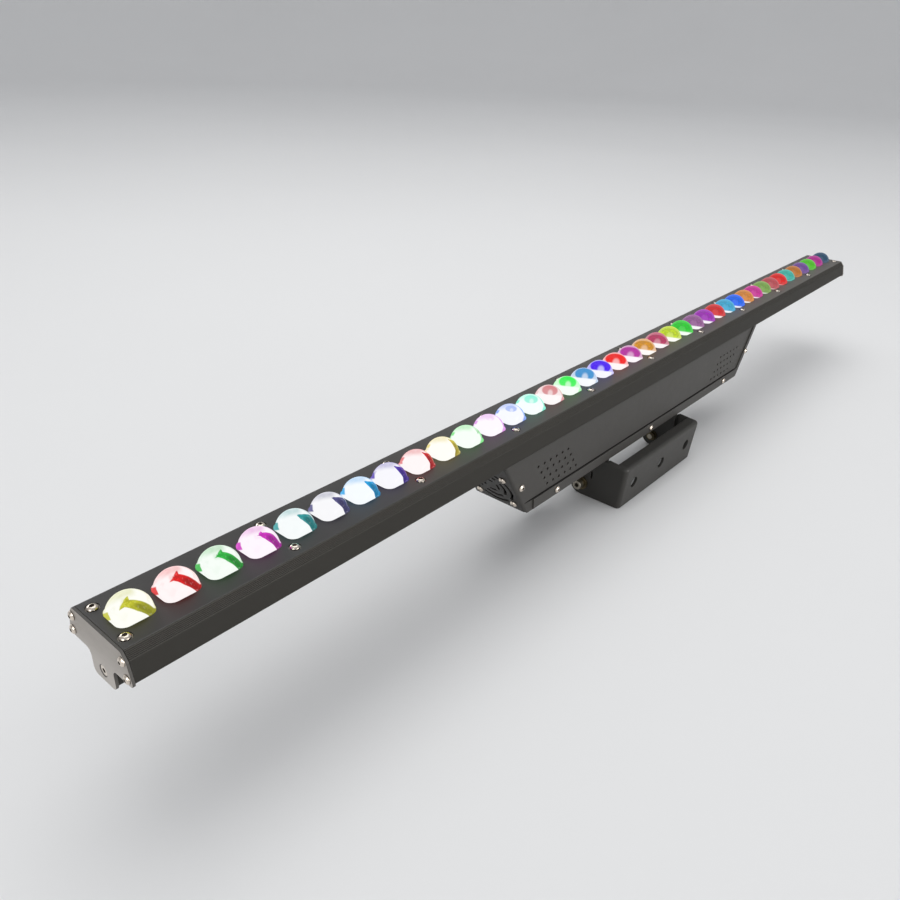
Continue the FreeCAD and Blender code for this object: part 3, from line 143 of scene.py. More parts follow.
def new_mat(name):
    m = bpy.data.materials.new(name)
    m.use_nodes = True
    nt = m.node_tree
    nt.nodes.clear()
    out = nt.nodes.new("ShaderNodeOutputMaterial")
    b = nt.nodes.new("ShaderNodeBsdfPrincipled")
    nt.links.new(b.outputs[0], out.inputs[0])
    Ex.nt = nt
    return m, nt, b


def coords(nt, scale=(1, 1, 1)):
    tc = nt.nodes.new("ShaderNodeTexCoord")
    mp = nt.nodes.new("ShaderNodeMapping")
    mp.inputs["Scale"].default_value = scale
    nt.links.new(tc.outputs["Object"], mp.inputs["Vector"])
    return mp.outputs[0]


def noise(nt, vec, scale, detail=2.0, rough=0.5):
    n = nt.nodes.new("ShaderNodeTexNoise")
    n.inputs["Scale"].default_value = scale
    n.inputs["Detail"].default_value = detail
    n.inputs["Roughness"].default_value = rough
    nt.links.new(vec, n.inputs["Vector"])
    return Ex(n.outputs["Fac"])


def ramp_color(nt, fac, c0, c1):
    n = nt.nodes.new("ShaderNodeMix")
    n.data_type = "RGBA"
    if isinstance(fac, Ex):
        nt.links.new(fac.s, n.inputs[0])
    else:
        n.inputs[0].default_value = fac
    for k, c in ((6, c0), (7, c1)):
        if isinstance(c, (tuple, list)):
            n.inputs[k].default_value = (*c[:3], 1)
        else:
            nt.links.new(c, n.inputs[k])
    return n.outputs[2]


def bump(nt, height, dist, strength=1.0, normal=None):
    n = nt.nodes.new("ShaderNodeBump")
    n.inputs["Distance"].default_value = dist
    n.inputs["Strength"].default_value = strength
    nt.links.new(height.s, n.inputs["Height"])
    if normal is not None:
        nt.links.new(normal, n.inputs["Normal"])
    return n.outputs[0]


def bevel(nt, radius):
    n = nt.nodes.new("ShaderNodeBevel")
    n.samples = 4
    n.inputs["Radius"].default_value = radius
    return n.outputs[0]


def coat_metal(name, base, rough=0.42, grain=3000.0, depth=0.00003, var=0.12, stretch=(1, 1, 1), edge=0.0003, metallic=0.0, spec=0.5, tint=None, dust=0.0, painted_sheen=None, painted_edge_highlight=None, up=None):
    """Painted, anodised or moulded surface: fine grain, slow tonal drift, softened edges; optional dust on upward
    faces, and optional painted light: a grazing sheen, an upward-face tone and edge highlights.
    """
    m, nt, b = new_mat(name)
    v = coords(nt, stretch)
    fine = noise(nt, v, grain, 3.0, 0.6)
    plain = coords(nt)
    slow = noise(nt, plain, 14.0, 3.0, 0.55)
    mid = noise(nt, plain, 160.0, 4.0, 0.6)
    lo = tuple(c * (1 - var) for c in base)
    hi = tuple(min(1.0, c * (1 + var)) for c in (tint or base))
    mixf = e_clamp(slow * 0.55 + mid * 0.30 + fine * 0.25 - 0.05, 0.0, 1.0)
    col = ramp_color(nt, mixf, lo, hi)
    if dust:
        g = nt.nodes.new("ShaderNodeNewGeometry")
        sx = nt.nodes.new("ShaderNodeSeparateXYZ")
        nt.links.new(g.outputs["Normal"], sx.inputs[0])
        upz = e_step(Ex(sx.outputs["Z"]), 0.6, 1.0)
        col = ramp_color(nt, upz * mid * dust, col, (0.45, 0.42, 0.38))
    # painted sheen: the colour turns toward the sheen colour where the view grazes the surface
    if painted_sheen:
        g = nt.nodes.new("ShaderNodeNewGeometry")
        d = nt.nodes.new("ShaderNodeVectorMath")
        d.operation = "DOT_PRODUCT"
        nt.links.new(g.outputs["Normal"], d.inputs[0])
        nt.links.new(g.outputs["Incoming"], d.inputs[1])
        col = ramp_color(nt, e_step(Ex(d.outputs["Value"]), 0.66, 0.20), col, painted_sheen)
    nrm = bevel(nt, edge) if edge else None
    # painted light: faces turned upward are blended to the given up colour
    if up:
        g = nt.nodes.new("ShaderNodeNewGeometry")
        sx = nt.nodes.new("ShaderNodeSeparateXYZ")
        nt.links.new(g.outputs["True Normal"], sx.inputs[0])
        col = ramp_color(nt, e_step(Ex(sx.outputs["Z"]), 0.15, 0.45), col, up)
    # painted highlight: edges found by the bevel normal are painted lighter, varied by noise
    if painted_edge_highlight:
        g = nt.nodes.new("ShaderNodeNewGeometry")
        d = nt.nodes.new("ShaderNodeVectorMath")
        d.operation = "DOT_PRODUCT"
        wide = bevel(nt, 0.00055)
        nt.links.new(wide, d.inputs[0])
        nt.links.new(g.outputs["True Normal"], d.inputs[1])
        edge_highlight_mask = e_step(Ex(d.outputs["Value"]), 0.990, 0.90) * (mid * 0.5 + 0.55)
        col = ramp_color(nt, e_clamp(edge_highlight_mask, 0, 1), col, painted_edge_highlight)
    nt.links.new(col, b.inputs["Base Color"])
    r = e_clamp(rough - 0.07 + mid * 0.08 + slow * 0.08, 0.05, 1.0)
    nt.links.new(r.s, b.inputs["Roughness"])
    b.inputs["Metallic"].default_value = metallic
    b.inputs["Specular IOR Level"].default_value = spec
    nt.links.new(bump(nt, fine, depth, 0.6, nrm), b.inputs["Normal"])
    return m


def bare_metal(name, base, rough=0.25, stretch=(1, 1, 1), grain=1800.0, depth=0.000012, edge=0.00022, var=0.10, stain=None):
    m, nt, b = new_mat(name)
    v = coords(nt, stretch)
    fine = noise(nt, v, grain, 3.0, 0.65)
    plain = coords(nt)
    slow = noise(nt, plain, 210.0, 4.0, 0.6)
    col = ramp_color(nt, e_clamp(slow * 0.7 + fine * 0.3, 0, 1), tuple(c * (1 - var) for c in base), tuple(min(1, c * (1 + var)) for c in (stain or base)))
    nt.links.new(col, b.inputs["Base Color"])
    nt.links.new(e_clamp(rough - 0.06 + fine * 0.10 + slow * 0.06, 0.04, 1).s, b.inputs["Roughness"])
    b.inputs["Metallic"].default_value = 1.0
    nt.links.new(bump(nt, fine, depth, 0.5, bevel(nt, edge)), b.inputs["Normal"])
    return m


def with_painted_recess_shade(mat, dist, dark, power=1.6):
    """Painted shade: darkens the deep corners, such as screw sockets and the gap under a head, by ambient occlusion.
    """
    nt = mat.node_tree
    Ex.nt = nt
    b = next(n for n in nt.nodes if n.type == "BSDF_PRINCIPLED")
    src = b.inputs["Base Color"].links[0].from_socket
    ao = nt.nodes.new("ShaderNodeAmbientOcclusion")
    ao.samples = 8
    ao.inputs["Distance"].default_value = dist
    k = Ex.m("POWER", Ex(ao.outputs["AO"]), power)
    nt.links.new(ramp_color(nt, e_clamp(k, 0, 1), dark, src), b.inputs["Base Color"])
    return mat


def srgb(r, g, b):
    f = lambda c: c / 12.92 if c <= 0.04045 else ((c + 0.055) / 1.055) ** 2.4
    return (f(r), f(g), f(b))


# ------------------------------------------------------------------ finishes
M = {}
# lens plate: painted grazing sheen and painted edge highlights; its dust is the plate's own
M["plate_black"] = coat_metal("lens_plate_satin", (0.0075, 0.0066, 0.0056), rough=0.50, spec=0.62, painted_sheen=(0.092, 0.086, 0.076), grain=2600, depth=0.00002, var=0.10, tint=(0.0105, 0.0092, 0.0080), edge=0.0003, dust=0.01, painted_edge_highlight=(0.060, 0.055, 0.048))
# extrusion: upward faces painted lighter as painted light, with painted edge highlights
M["black_anodised"] = coat_metal("extrusion_anodised", (0.0205, 0.0195, 0.0170), rough=0.54, spec=0.10, grain=2400, depth=0.00002, var=0.12, stretch=(0.012, 1, 1), tint=(0.0240, 0.0225, 0.0200), edge=0.0003, painted_edge_highlight=(0.085, 0.080, 0.072), up=(0.0340, 0.0322, 0.0285))
# painted shade in the extrusion's grooves and crevices
with_painted_recess_shade(M["black_anodised"], 0.0007, (0.004, 0.0038, 0.0035), 1.7)
# housing and yoke: painted edge highlights
M["housing_paint"] = coat_metal("housing_powder", (0.0270, 0.0252, 0.0228), rough=0.52, spec=0.42, grain=2300, depth=0.00005, var=0.10, edge=0.0004, painted_edge_highlight=(0.095, 0.090, 0.082))
M["yoke_paint"] = coat_metal("yoke_powder", (0.0225, 0.0215, 0.0192), rough=0.48, spec=0.36, grain=2300, depth=0.00005, var=0.10, edge=0.0005, painted_edge_highlight=(0.080, 0.076, 0.070))
# painted shade in the screw sockets and the gap under each head
M["stainless"] = with_painted_recess_shade(bare_metal("stainless_screw", (0.74, 0.66, 0.57), rough=0.20), 0.0016, (0.012, 0.010, 0.008), 2.2)
M["zinc_yellow"] = bare_metal("yellow_zinc", (0.105, 0.098, 0.050), rough=0.42, stain=(0.13, 0.10, 0.065), var=0.2)
M["dark_steel"] = bare_metal("black_oxide", (0.075, 0.072, 0.070), rough=0.38)
M["galvanised"] = bare_metal("zinc_sheet", (0.48, 0.49, 0.50), rough=0.40, grain=300)
M["latch_metal"] = bare_metal("latch_steel", (0.52, 0.52, 0.53), rough=0.30)
M["brass_standoff"] = bare_metal("brass", (0.62, 0.46, 0.20), rough=0.30)
M["capacitor"] = coat_metal("capacitor_sleeve", (0.05, 0.055, 0.08), rough=0.35, grain=900)
M["gasket_rubber"] = coat_metal("silicone_black", (0.016, 0.016, 0.016), rough=0.75, grain=1200, depth=0.00004)
M["foam"] = coat_metal("foam_black", (0.012, 0.012, 0.012), rough=0.9, grain=1500, depth=0.00015)
M["holder_plastic"] = coat_metal("holder_black", (0.02, 0.02, 0.02), rough=0.5, grain=1500)
M["board_white"] = coat_metal("mask_white", (0.70, 0.70, 0.67), rough=0.35, grain=800, var=0.05)
M["board_green"] = coat_metal("mask_green", (0.015, 0.11, 0.045), rough=0.30, grain=500, var=0.25, tint=(0.03, 0.17, 0.07))
M["thermal"] = coat_metal("thermal_pad", (0.30, 0.36, 0.40), rough=0.8, grain=700)
M["jumper"] = coat_metal("jumper_white", (0.72, 0.70, 0.62), rough=0.45, grain=900)
M["fan_plastic"] = coat_metal("fan_black", (0.018, 0.018, 0.019), rough=0.42, grain=1600)
M["transformer"] = coat_metal("transformer_tape", (0.55, 0.40, 0.05), rough=0.4, grain=400, stretch=(1, 6, 1))
M["inductor"] = coat_metal("ferrite", (0.03, 0.03, 0.033), rough=0.6, grain=900)
M["terminal"] = coat_metal("terminal_green", (0.02, 0.16, 0.06), rough=0.35, grain=900)
M["cable_black"] = coat_metal("cable_sheath", (0.014, 0.014, 0.014), rough=0.5, grain=1000)
M["panel_black"] = coat_metal("bezel_black", (0.020, 0.020, 0.021), rough=0.48, grain=2200, depth=0.00004, edge=0.0004)
M["button_plastic"] = coat_metal("button_grey", (0.11, 0.11, 0.115), rough=0.42, grain=1800, edge=0.0003)
M["socket_blue"] = coat_metal("socket_blue", (0.012, 0.055, 0.26), rough=0.30, grain=1200, var=0.08, edge=0.0003)
M["socket_grey"] = coat_metal("socket_grey", (0.33, 0.34, 0.36), rough=0.34, grain=1200, var=0.06, edge=0.0003)
M["socket_black"] = coat_metal("socket_black", (0.016, 0.016, 0.017), rough=0.30, grain=1200, edge=0.0003)
M["friction"] = coat_metal("fibre_washer", (0.16, 0.10, 0.06), rough=0.8, grain=800)
M["nylon"] = coat_metal("nylon", (0.62, 0.60, 0.52), rough=0.45, grain=900)

# end plates: bare satin outer face, dark anodised rim
m, nt, b = new_mat("end_plate_satin")
v = coords(nt, (1, 0.06, 1))
f1, f2 = noise(nt, v, 1500, 3.0, 0.6), noise(nt, coords(nt), 60, 4.0, 0.6)
g = nt.nodes.new("ShaderNodeNewGeometry")
vt = nt.nodes.new("ShaderNodeVectorTransform")
vt.vector_type, vt.convert_from, vt.convert_to = "VECTOR", "WORLD", "OBJECT"
nt.links.new(g.outputs["True Normal"], vt.inputs[0])
sx = nt.nodes.new("ShaderNodeSeparateXYZ")
nt.links.new(vt.outputs[0], sx.inputs[0])
face = e_step(e_abs(Ex(sx.outputs["X"])), 0.72, 0.93)
tc = nt.nodes.new("ShaderNodeTexCoord")
sz = nt.nodes.new("ShaderNodeSeparateXYZ")
nt.links.new(tc.outputs["Object"], sz.inputs[0])
# painted light: the face is painted lighter towards its lower part
painted_lower_light = e_step(Ex(sz.outputs["Z"]), 0.092, 0.068)
face_col = ramp_color(nt, f1 * 0.35 + f2 * 0.30 + painted_lower_light * 0.40, (0.235, 0.212, 0.186), (0.520, 0.485, 0.450))
nt.links.new(ramp_color(nt, face, (0.045, 0.041, 0.037), face_col), b.inputs["Base Color"])
nt.links.new((0.40 + f1 * 0.12).s, b.inputs["Roughness"])
nt.links.new((face * 0.35).s, b.inputs["Metallic"])
nt.links.new(bump(nt, f1, 0.00003, 0.5, bevel(nt, 0.0002)), b.inputs["Normal"])
M["end_plate_grey"] = m

# glowing emitters under the lenses
m, nt, b = new_mat("emitter_phosphor")
v = coords(nt)
f = noise(nt, v, 900, 2)
nt.links.new(ramp_color(nt, f, (0.85, 0.75, 0.30), (0.95, 0.90, 0.55)), b.inputs["Base Color"])
b.inputs["Roughness"].default_value = 0.25
M["emitter"] = m

# display: a dark module with lit characters made of bars, under smoked acrylic
m, nt, b = new_mat("display_lit")
tc = nt.nodes.new("ShaderNodeTexCoord")
sx = nt.nodes.new("ShaderNodeSeparateXYZ")
nt.links.new(tc.outputs["Object"], sx.inputs[0])
dlo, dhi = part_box("display_window")
X, Z = Ex(sx.outputs["X"]) * 1000.0 - (dlo[0] + dhi[0]) * 500.0, Ex(sx.outputs["Z"]) * 1000.0 - (dlo[2] + dhi[2]) * 500.0
cell = Ex.m("FRACT", (X + 60.0) / 6.0) * 6.0 - 0.5
bars = e_step(e_abs(cell - 1.0), 0.5, 0.3) + e_step(e_abs(cell - 4.0), 0.5, 0.3)
rows = e_step(e_abs(e_abs(Z) - 3.6), 0.5, 0.3) + e_step(e_abs(Z), 0.5, 0.3)
inside = e_step(e_abs(Z), 4.1, 3.9)
shown = e_step(e_abs(X), 12.1, 11.9)
seg = e_clamp(bars * inside + rows * e_step(cell, 0.7, 0.9) * e_step(cell, 4.3, 4.1), 0, 1) * shown
lit = noise(nt, coords(nt), 60, 0) * 0.4 + 0.6
nt.links.new(ramp_color(nt, seg, (0.004, 0.008, 0.010), (0.02, 0.15, 0.20)), b.inputs["Base Color"])
nt.links.new(ramp_color(nt, seg * lit, (0, 0, 0), (0.15, 0.75, 0.95)), b.inputs["Emission Color"])
b.inputs["Emission Strength"].default_value = 1.2
b.inputs["Roughness"].default_value = 0.2
M["display"] = m

m, nt, b = new_mat("smoked_acrylic")
f = noise(nt, coords(nt), 30, 3)
nt.links.new(ramp_color(nt, f, (0.22, 0.24, 0.27), (0.30, 0.33, 0.36)), b.inputs["Base Color"])
b.inputs["Roughness"].default_value = 0.04
b.inputs["Transmission Weight"].default_value = 0.9
b.inputs["IOR"].default_value = 1.49
M["window"] = m

rec = frame["record"]
slot_of = {s["node"]: s["material_slot"] for s in rec["subparts"]}


def assign(ob, mat):
    ob.data.materials.clear()
    ob.data.materials.append(mat)


for n, ob in NODES.items():
    s = slot_of.get(n)
    if s in M:
        assign(ob, M[s])

# painted shade in the pivot bolts' sockets and under their heads
assign(NODES["pivot_bolts"], with_painted_recess_shade(bare_metal("plated_bolt", (0.40, 0.37, 0.31), rough=0.30), 0.003, (0.012, 0.010, 0.008), 1.8))

# ------------------------------------------------------------------ lens shader, shared group
grp = bpy.data.node_groups.new("lens_glow", "ShaderNodeTree")
grp.interface.new_socket(name="Tint", in_out="INPUT", socket_type="NodeSocketColor")
grp.interface.new_socket(name="Color", in_out="OUTPUT", socket_type="NodeSocketColor")
grp.interface.new_socket(name="Amount", in_out="OUTPUT", socket_type="NodeSocketFloat")
Ex.nt = grp
gi, go = grp.nodes.new("NodeGroupInput"), grp.nodes.new("NodeGroupOutput")
geo = grp.nodes.new("ShaderNodeNewGeometry")


def to_object(sock):
    n = grp.nodes.new("ShaderNodeVectorTransform")
    n.vector_type = "VECTOR"
    n.convert_from, n.convert_to = "WORLD", "OBJECT"
    grp.links.new(sock, n.inputs[0])
    k = grp.nodes.new("ShaderNodeVectorMath")
    k.operation = "NORMALIZE"
    grp.links.new(n.outputs[0], k.inputs[0])
    return k.outputs[0]


def vm(op, a, b_=None):
    n = grp.nodes.new("ShaderNodeVectorMath")
    n.operation = op
    for i, v_ in enumerate((a, b_)):
        if v_ is None:
            continue
        if isinstance(v_, tuple):
            n.inputs[i].default_value = v_
        else:
            grp.links.new(v_, n.inputs[i])
    return n


tco = grp.nodes.new("ShaderNodeTexCoord")
N_o = vm("NORMALIZE", vm("ADD", tco.outputs["Object"], (0, 0, 0.00105)).outputs[0]).outputs[0]
I_o = to_object(geo.outputs["Incoming"])
right = vm("NORMALIZE", vm("CROSS_PRODUCT", (0, 0, 1), I_o).outputs[0]).outputs[0]
upv = vm("CROSS_PRODUCT", I_o, right).outputs[0]
sep = grp.nodes.new("ShaderNodeSeparateXYZ")
grp.links.new(I_o, sep.inputs[0])
flip = 0.0 - Ex.m("SIGN", Ex(sep.outputs["X"]))
a = Ex(vm("DOT_PRODUCT", N_o, right).outputs["Value"]) * flip
bb = Ex(vm("DOT_PRODUCT", N_o, upv).outputs["Value"])
ev = e_clamp(Ex(sep.outputs["Z"]), 0.21, 0.62)
rr = e_sqrt(a * a + bb * bb)
a = a * 1.0918
bb = bb * 1.0918 - e_sqrt(1.0 - ev * ev) * 0.1304
cloud = grp.nodes.new("ShaderNodeTexNoise")
cloud.inputs["Scale"].default_value = 210.0
cloud.inputs["Detail"].default_value = 3.0
grp.links.new(tco.outputs["Object"], cloud.inputs["Vector"])
cl = Ex(cloud.outputs["Fac"])
fine = grp.nodes.new("ShaderNodeTexNoise")
fine.inputs["Scale"].default_value = 620.0
fine.inputs["Detail"].default_value = 3.0
grp.links.new(tco.outputs["Object"], fine.inputs["Vector"])
fn = Ex(fine.outputs["Fac"])
wob = (cl - 0.5) * 0.12
# slanting band with a star-like tip, seen when the lens is looked at from well above
k6 = 0.60 - ev
kp = e_max(k6, 0.0)
near = e_step(ev, 0.570, 0.612)
an, bn = a + near * 0.10, bb + near * 0.15
cn, sn = near * 0.075 + 0.829, 0.559 - near * 0.13
tt = an * cn - bn * sn
tn = an * sn + bn * cn + wob * 0.4
t0 = e_max(0.30 - kp * 2.5, 0.0)
kap = kp * 2.2 + 0.30
mid = kp * 2.96 + 0.45 - e_max(0.0 - k6, 0.0) * 8.0
dn = tn + kap * (tt - t0) * (tt - t0) - mid
hw = 0.165 - e_max(0.575 - ev, 0.0) * 0.95 + tt * e_clamp((ev - 0.53) * 14.0, 0.0, 1.0) * 0.10
hw = e_max(hw, 0.045)
starry = e_step(ev, 0.53, 0.57)
spike_u = e_max(1.0 - e_abs(tt + 0.30) * 7.0, 0.0) * starry * 0.17
spike_d = e_max(1.0 - e_abs(tt + 0.40) * 6.0, 0.0) * starry * 0.12
edge_in = e_step(ev, 0.53, 0.57, -0.24, -0.38) - e_step(ev, 0.58, 0.61) * 0.12
taper = e_clamp((tt - edge_in) * 3.2, 0.0, 1.0)
full = e_max(taper, starry)
reach = e_step(ev, 0.575, 0.53) * e_step(tt, -0.10, 0.45) * 0.20
off = e_max(dn / (hw * (full * 0.75 + 0.25) + spike_u + reach), (0.0 - dn) / (hw * (full * 0.75 + 0.25) * e_step(tt, 0.25, 0.95, 1.0, 0.45) + spike_d))
s_in = e_step(tt + (fn - 0.5) * 0.16, edge_in, edge_in + 0.09)
s_out = e_step(ev, 0.475, 0.455, 1.35, 0.45)
band = e_step(off, 1.12, 0.86) * s_in * e_step(tt, s_out, s_out - 0.12) * e_step(ev, 0.435, 0.455)
# arch-shaped image of the emitter, seen at lower angles
q = e_max(0.432 - ev, 0.0)
cb = e_clamp(0.65 - q * 3.4, 0.25, 0.65)
ra = e_clamp(0.30 + q * 8.0, 0.30, 0.92)
rb = e_clamp(0.14 + q * 7.0, 0.14, 0.56)
qa, qb = (a - 0.02 + wob * 0.5) / ra, (bb - cb + wob * 0.5) / rb
dr = e_sqrt(qa * qa + qb * qb)
low = e_max(0.25 - e_max(0.41 - ev, 0.0) * 3.2, -0.40)
arch = e_step(dr, 1.14, 0.84) * e_step(ev, 0.438, 0.425) * e_step(bb, low - 0.06, low + 0.08)
ca, cbb = (a - 0.07) / (ra * 0.34), (bb - cb + rb * 0.45) / (rb * 0.72)
core = e_step(e_sqrt(ca * ca + cbb * cbb), 1.25, 0.55)
soft = e_step(ev, 0.36, 0.33)
arch_amt = arch * (1.0 - core * (0.50 - soft * 0.26)) * (0.97 + (fn - 0.5) * 0.10) * e_step(ev, 0.43, 0.37, 0.55, 1.0)
wash = e_step(bb, low - 0.07, low + 0.09) * (e_step(ev, 0.425, 0.36) * 0.50 + e_step(ev, 0.355, 0.30) * 0.44)
# coloured corners, thin rim and a soft streaky tint toward the top
px = vm("DOT_PRODUCT", tco.outputs["Object"], right).outputs["Value"]
pa = Ex(px) * flip * (1.0 / 0.0113)
ears = e_step(e_abs(pa), 0.965, 1.0) * e_step(ev, 0.36, 0.42, 0.30, 0.55)
ear2 = e_step(a, -0.86, -0.93) * e_step(e_abs(bb + 0.03 - kp * 2.2), 0.24, 0.15) * e_step(ev, 0.44, 0.50) * 0.92
top = e_step(rr, 0.42, 0.90) * e_step(bb, 0.25, 0.80) * (0.16 + cl * 0.50) * e_step(a, 0.55, 0.1)
rim_r = e_step(rr, 0.885, 0.965) * e_step(a, 0.45, 0.80) * e_step(ev, 0.36, 0.41) * e_step(ev, 0.54, 0.49) * 0.80
rim_l = e_step(rr, 0.80, 0.90) * e_step(a, -0.62, -0.74) * e_step(e_abs(bb - 0.33), 0.16, 0.08) * e_step(ev, 0.38, 0.41) * e_step(ev, 0.51, 0.48) * 0.80
rim = e_step(rr, 0.91, 0.985) * (0.28 + e_step(ev, 0.54, 0.48) * 0.30) * e_step(ev, 0.33, 0.40, 0.2, 1.0)
haze = e_step(cl, 0.46, 0.70) * (e_step(bb, 0.05, 0.45) * 0.22 + 0.05) * e_step(ev, 0.53, 0.59)
base_t = 0.045 + haze
amt = e_max(e_max(e_max(rim_r, rim_l), e_max(band * (0.98 - e_step(fn, 0.55, 0.72) * 0.12), arch_amt)), e_max(e_max(ears, ear2), e_max(e_max(top, rim), e_max(base_t, wash))))
amt = e_clamp(amt, 0.0, 1.0)
core_dark = band * e_step(off + (fn - 0.5) * 0.8, 0.80, 0.25) * e_step(tt, -0.15, 0.40) * 0.85
shade = e_max(e_max(core_dark, band * e_step(tt + (fn - 0.5) * 0.9, 0.10, 0.60) * 0.70), e_max(band * e_step(fn, 0.56, 0.42) * 0.45, arch * (1.0 - core) * soft * 0.42 * e_step(fn, 0.62, 0.42)))
tint_dark = grp.nodes.new("ShaderNodeMix")
tint_dark.data_type = "RGBA"
tint_dark.blend_type = "MULTIPLY"
grp.links.new(shade.s, tint_dark.inputs[0])
grp.links.new(gi.outputs[0], tint_dark.inputs[6])
tint_dark.inputs[7].default_value = (0.26, 0.26, 0.26, 1)
mixc = grp.nodes.new("ShaderNodeMix")
mixc.data_type = "RGBA"
grp.links.new(amt.s, mixc.inputs[0])
mixc.inputs[6].default_value = (1.0, 1.0, 1.0, 1)
grp.links.new(tint_dark.outputs[2], mixc.inputs[7])
# a breath of the colour even where the lens is white
pale = grp.nodes.new("ShaderNodeMix")
pale.data_type = "RGBA"
pale.inputs[0].default_value = 0.02
grp.links.new(mixc.outputs[2], pale.inputs[6])
grp.links.new(gi.outputs[0], pale.inputs[7])
grp.links.new(pale.outputs[2], go.inputs[0])
grp.links.new(amt.s, go.inputs[1])

LENS = [(.77, .77, .16), (.88, .04, .05), (.16, .72, .25), (.82, .16, .76), (.16, .62, .63), (.32, .31, .53), (.08, .65, .90), (.33, .22, .70), (.86, .14, .18), (.88, .80, .28),
        (.28, .86, .34), (.84, .46, .88), (.33, .53, .92), (.32, .92, .80), (.80, .40, .42), (.12, .93, .28), (.24, .56, .80), (.28, .05, .92), (.94, .07, .07), (.73, .18, .64),
        (.85, .58, .14), (.74, .22, .39), (.76, .86, .14), (.14, .80, .18), (.58, .36, .58), (.62, .16, .71), (.82, .14, .16), (.24, .66, .82), (.08, .40, .94), (.82, .52, .22),
        (.78, .18, .58), (.48, .64, .30), (.72, .30, .33), (.86, .07, .07), (.24, .69, .64), (.72, .44, .16), (.43, .28, .58), (.30, .74, .10), (.67, .12, .54), (.11, .28, .40)]


def lens_material(i, c):
    m, nt, b = new_mat(f"lens_{i + 1:02d}")
    g = nt.nodes.new("ShaderNodeGroup")
    g.node_tree = grp
    g.inputs[0].default_value = (*srgb(*c), 1)
    nt.links.new(g.outputs[0], b.inputs["Emission Color"])
    b.inputs["Emission Strength"].default_value = 1.0
    b.inputs["Base Color"].default_value = (*[x * 0.05 for x in srgb(*c)], 1)
    b.inputs["Roughness"].default_value = 0.16
    b.inputs["IOR"].default_value = 1.45
    b.inputs["Specular IOR Level"].default_value = 0.04
    f = noise(nt, coords(nt), 350, 2)
    nt.links.new(bump(nt, f, 0.00004, 0.25), b.inputs["Normal"])
    return m


def lens_mesh(name):
    """Moulded lens: square skirt with rounded corners, small corner ears, domed face. Centred on its own axis, mm scaled to m."""
    R, cz, hx, hy, rc = 11.3, -1.05, 10.05, 9.85, 5.0
    SEG, RN = 96, 24
    z_low = 0.45
    r_low = math.sqrt(R * R - (z_low - cz) ** 2)

    def edge_r(t):
        c, s = math.cos(t), math.sin(t)
        lo_, hi_ = 5.0, 16.0
        for _ in range(30):
            r = (lo_ + hi_) / 2
            x, y = abs(r * c), abs(r * s)
            qx, qy = x - (hx - rc), y - (hy - rc)
            d = math.hypot(max(qx, 0), max(qy, 0)) + min(max(qx, qy), 0) - rc
            if d > 0:
                hi_ = r
            else:
                lo_ = r
        return (lo_ + hi_) / 2

    verts, faces = [(0, 0, cz + R)], []
    rows = []
    for j in range(SEG):
        t = 2 * math.pi * j / SEG
        er = edge_r(t)
        top_r = min(er - 0.10, r_low)
        prof = []
        for k in range(1, RN + 1):
            r = top_r * math.sin(math.pi / 2 * k / RN)
            prof.append((r, cz + math.sqrt(R * R - r * r)))
        z = prof[-1][1]
        # softened edge where the dome meets the square sides, small flat ears in the corners
        prof += [(er - 0.05, z - 0.04), (er - 0.01, z - 0.12), (er, z - 0.25), (er, -1.6)]
        rows.append([(r * math.cos(t), r * math.sin(t), q) for r, q in prof])
    L = len(rows[0])
    for row in rows:
        verts += row
    for j in range(SEG):
        a0, b0 = 1 + j * L, 1 + ((j + 1) % SEG) * L
        faces.append((0, a0, b0))
        for k in range(L - 1):
            faces.append((a0 + k, a0 + k + 1, b0 + k + 1, b0 + k))
    c = len(verts)
    verts.append((0, 0, -1.6))
    for j in range(SEG):
        faces.append((1 + j * L + L - 1, c, 1 + ((j + 1) % SEG) * L + L - 1))
    me = bpy.data.meshes.new(name)
    me.from_pydata([tuple(q * MM for q in v_) for v_ in verts], [], faces)
    me.update()
    for p in me.polygons:
        p.use_smooth = True
    return me


def add(name, me, mats, body):
    ob = bpy.data.objects.new(name, me)
    bpy.context.scene.collection.objects.link(ob)
    for m_ in (mats if isinstance(mats, (list, tuple)) else [mats]):
        me.materials.append(m_)
    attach(ob, body)
    return ob


base_lens = lens_mesh("lens_master")
for i in range(40):
    me = base_lens.copy()
    me.name = f"lens_mesh_{i + 1:02d}"
    ob = bpy.data.objects.new(f"lens_{i + 1:02d}", me)
    bpy.context.scene.collection.objects.link(ob)
    me.materials.append(lens_material(i, LENS[i]))
    ob.location = W((i - 19.5) * 25.0, 0, 0)
    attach(ob, "head")
    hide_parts("lenses")

# painted shadow: near-black material for the strip under the cover's lip
SHADOW_STRIP = coat_metal("shadow_strip_black", (0.0045, 0.0043, 0.0040), rough=0.85, grain=1400, depth=0.00003, spec=0.10)


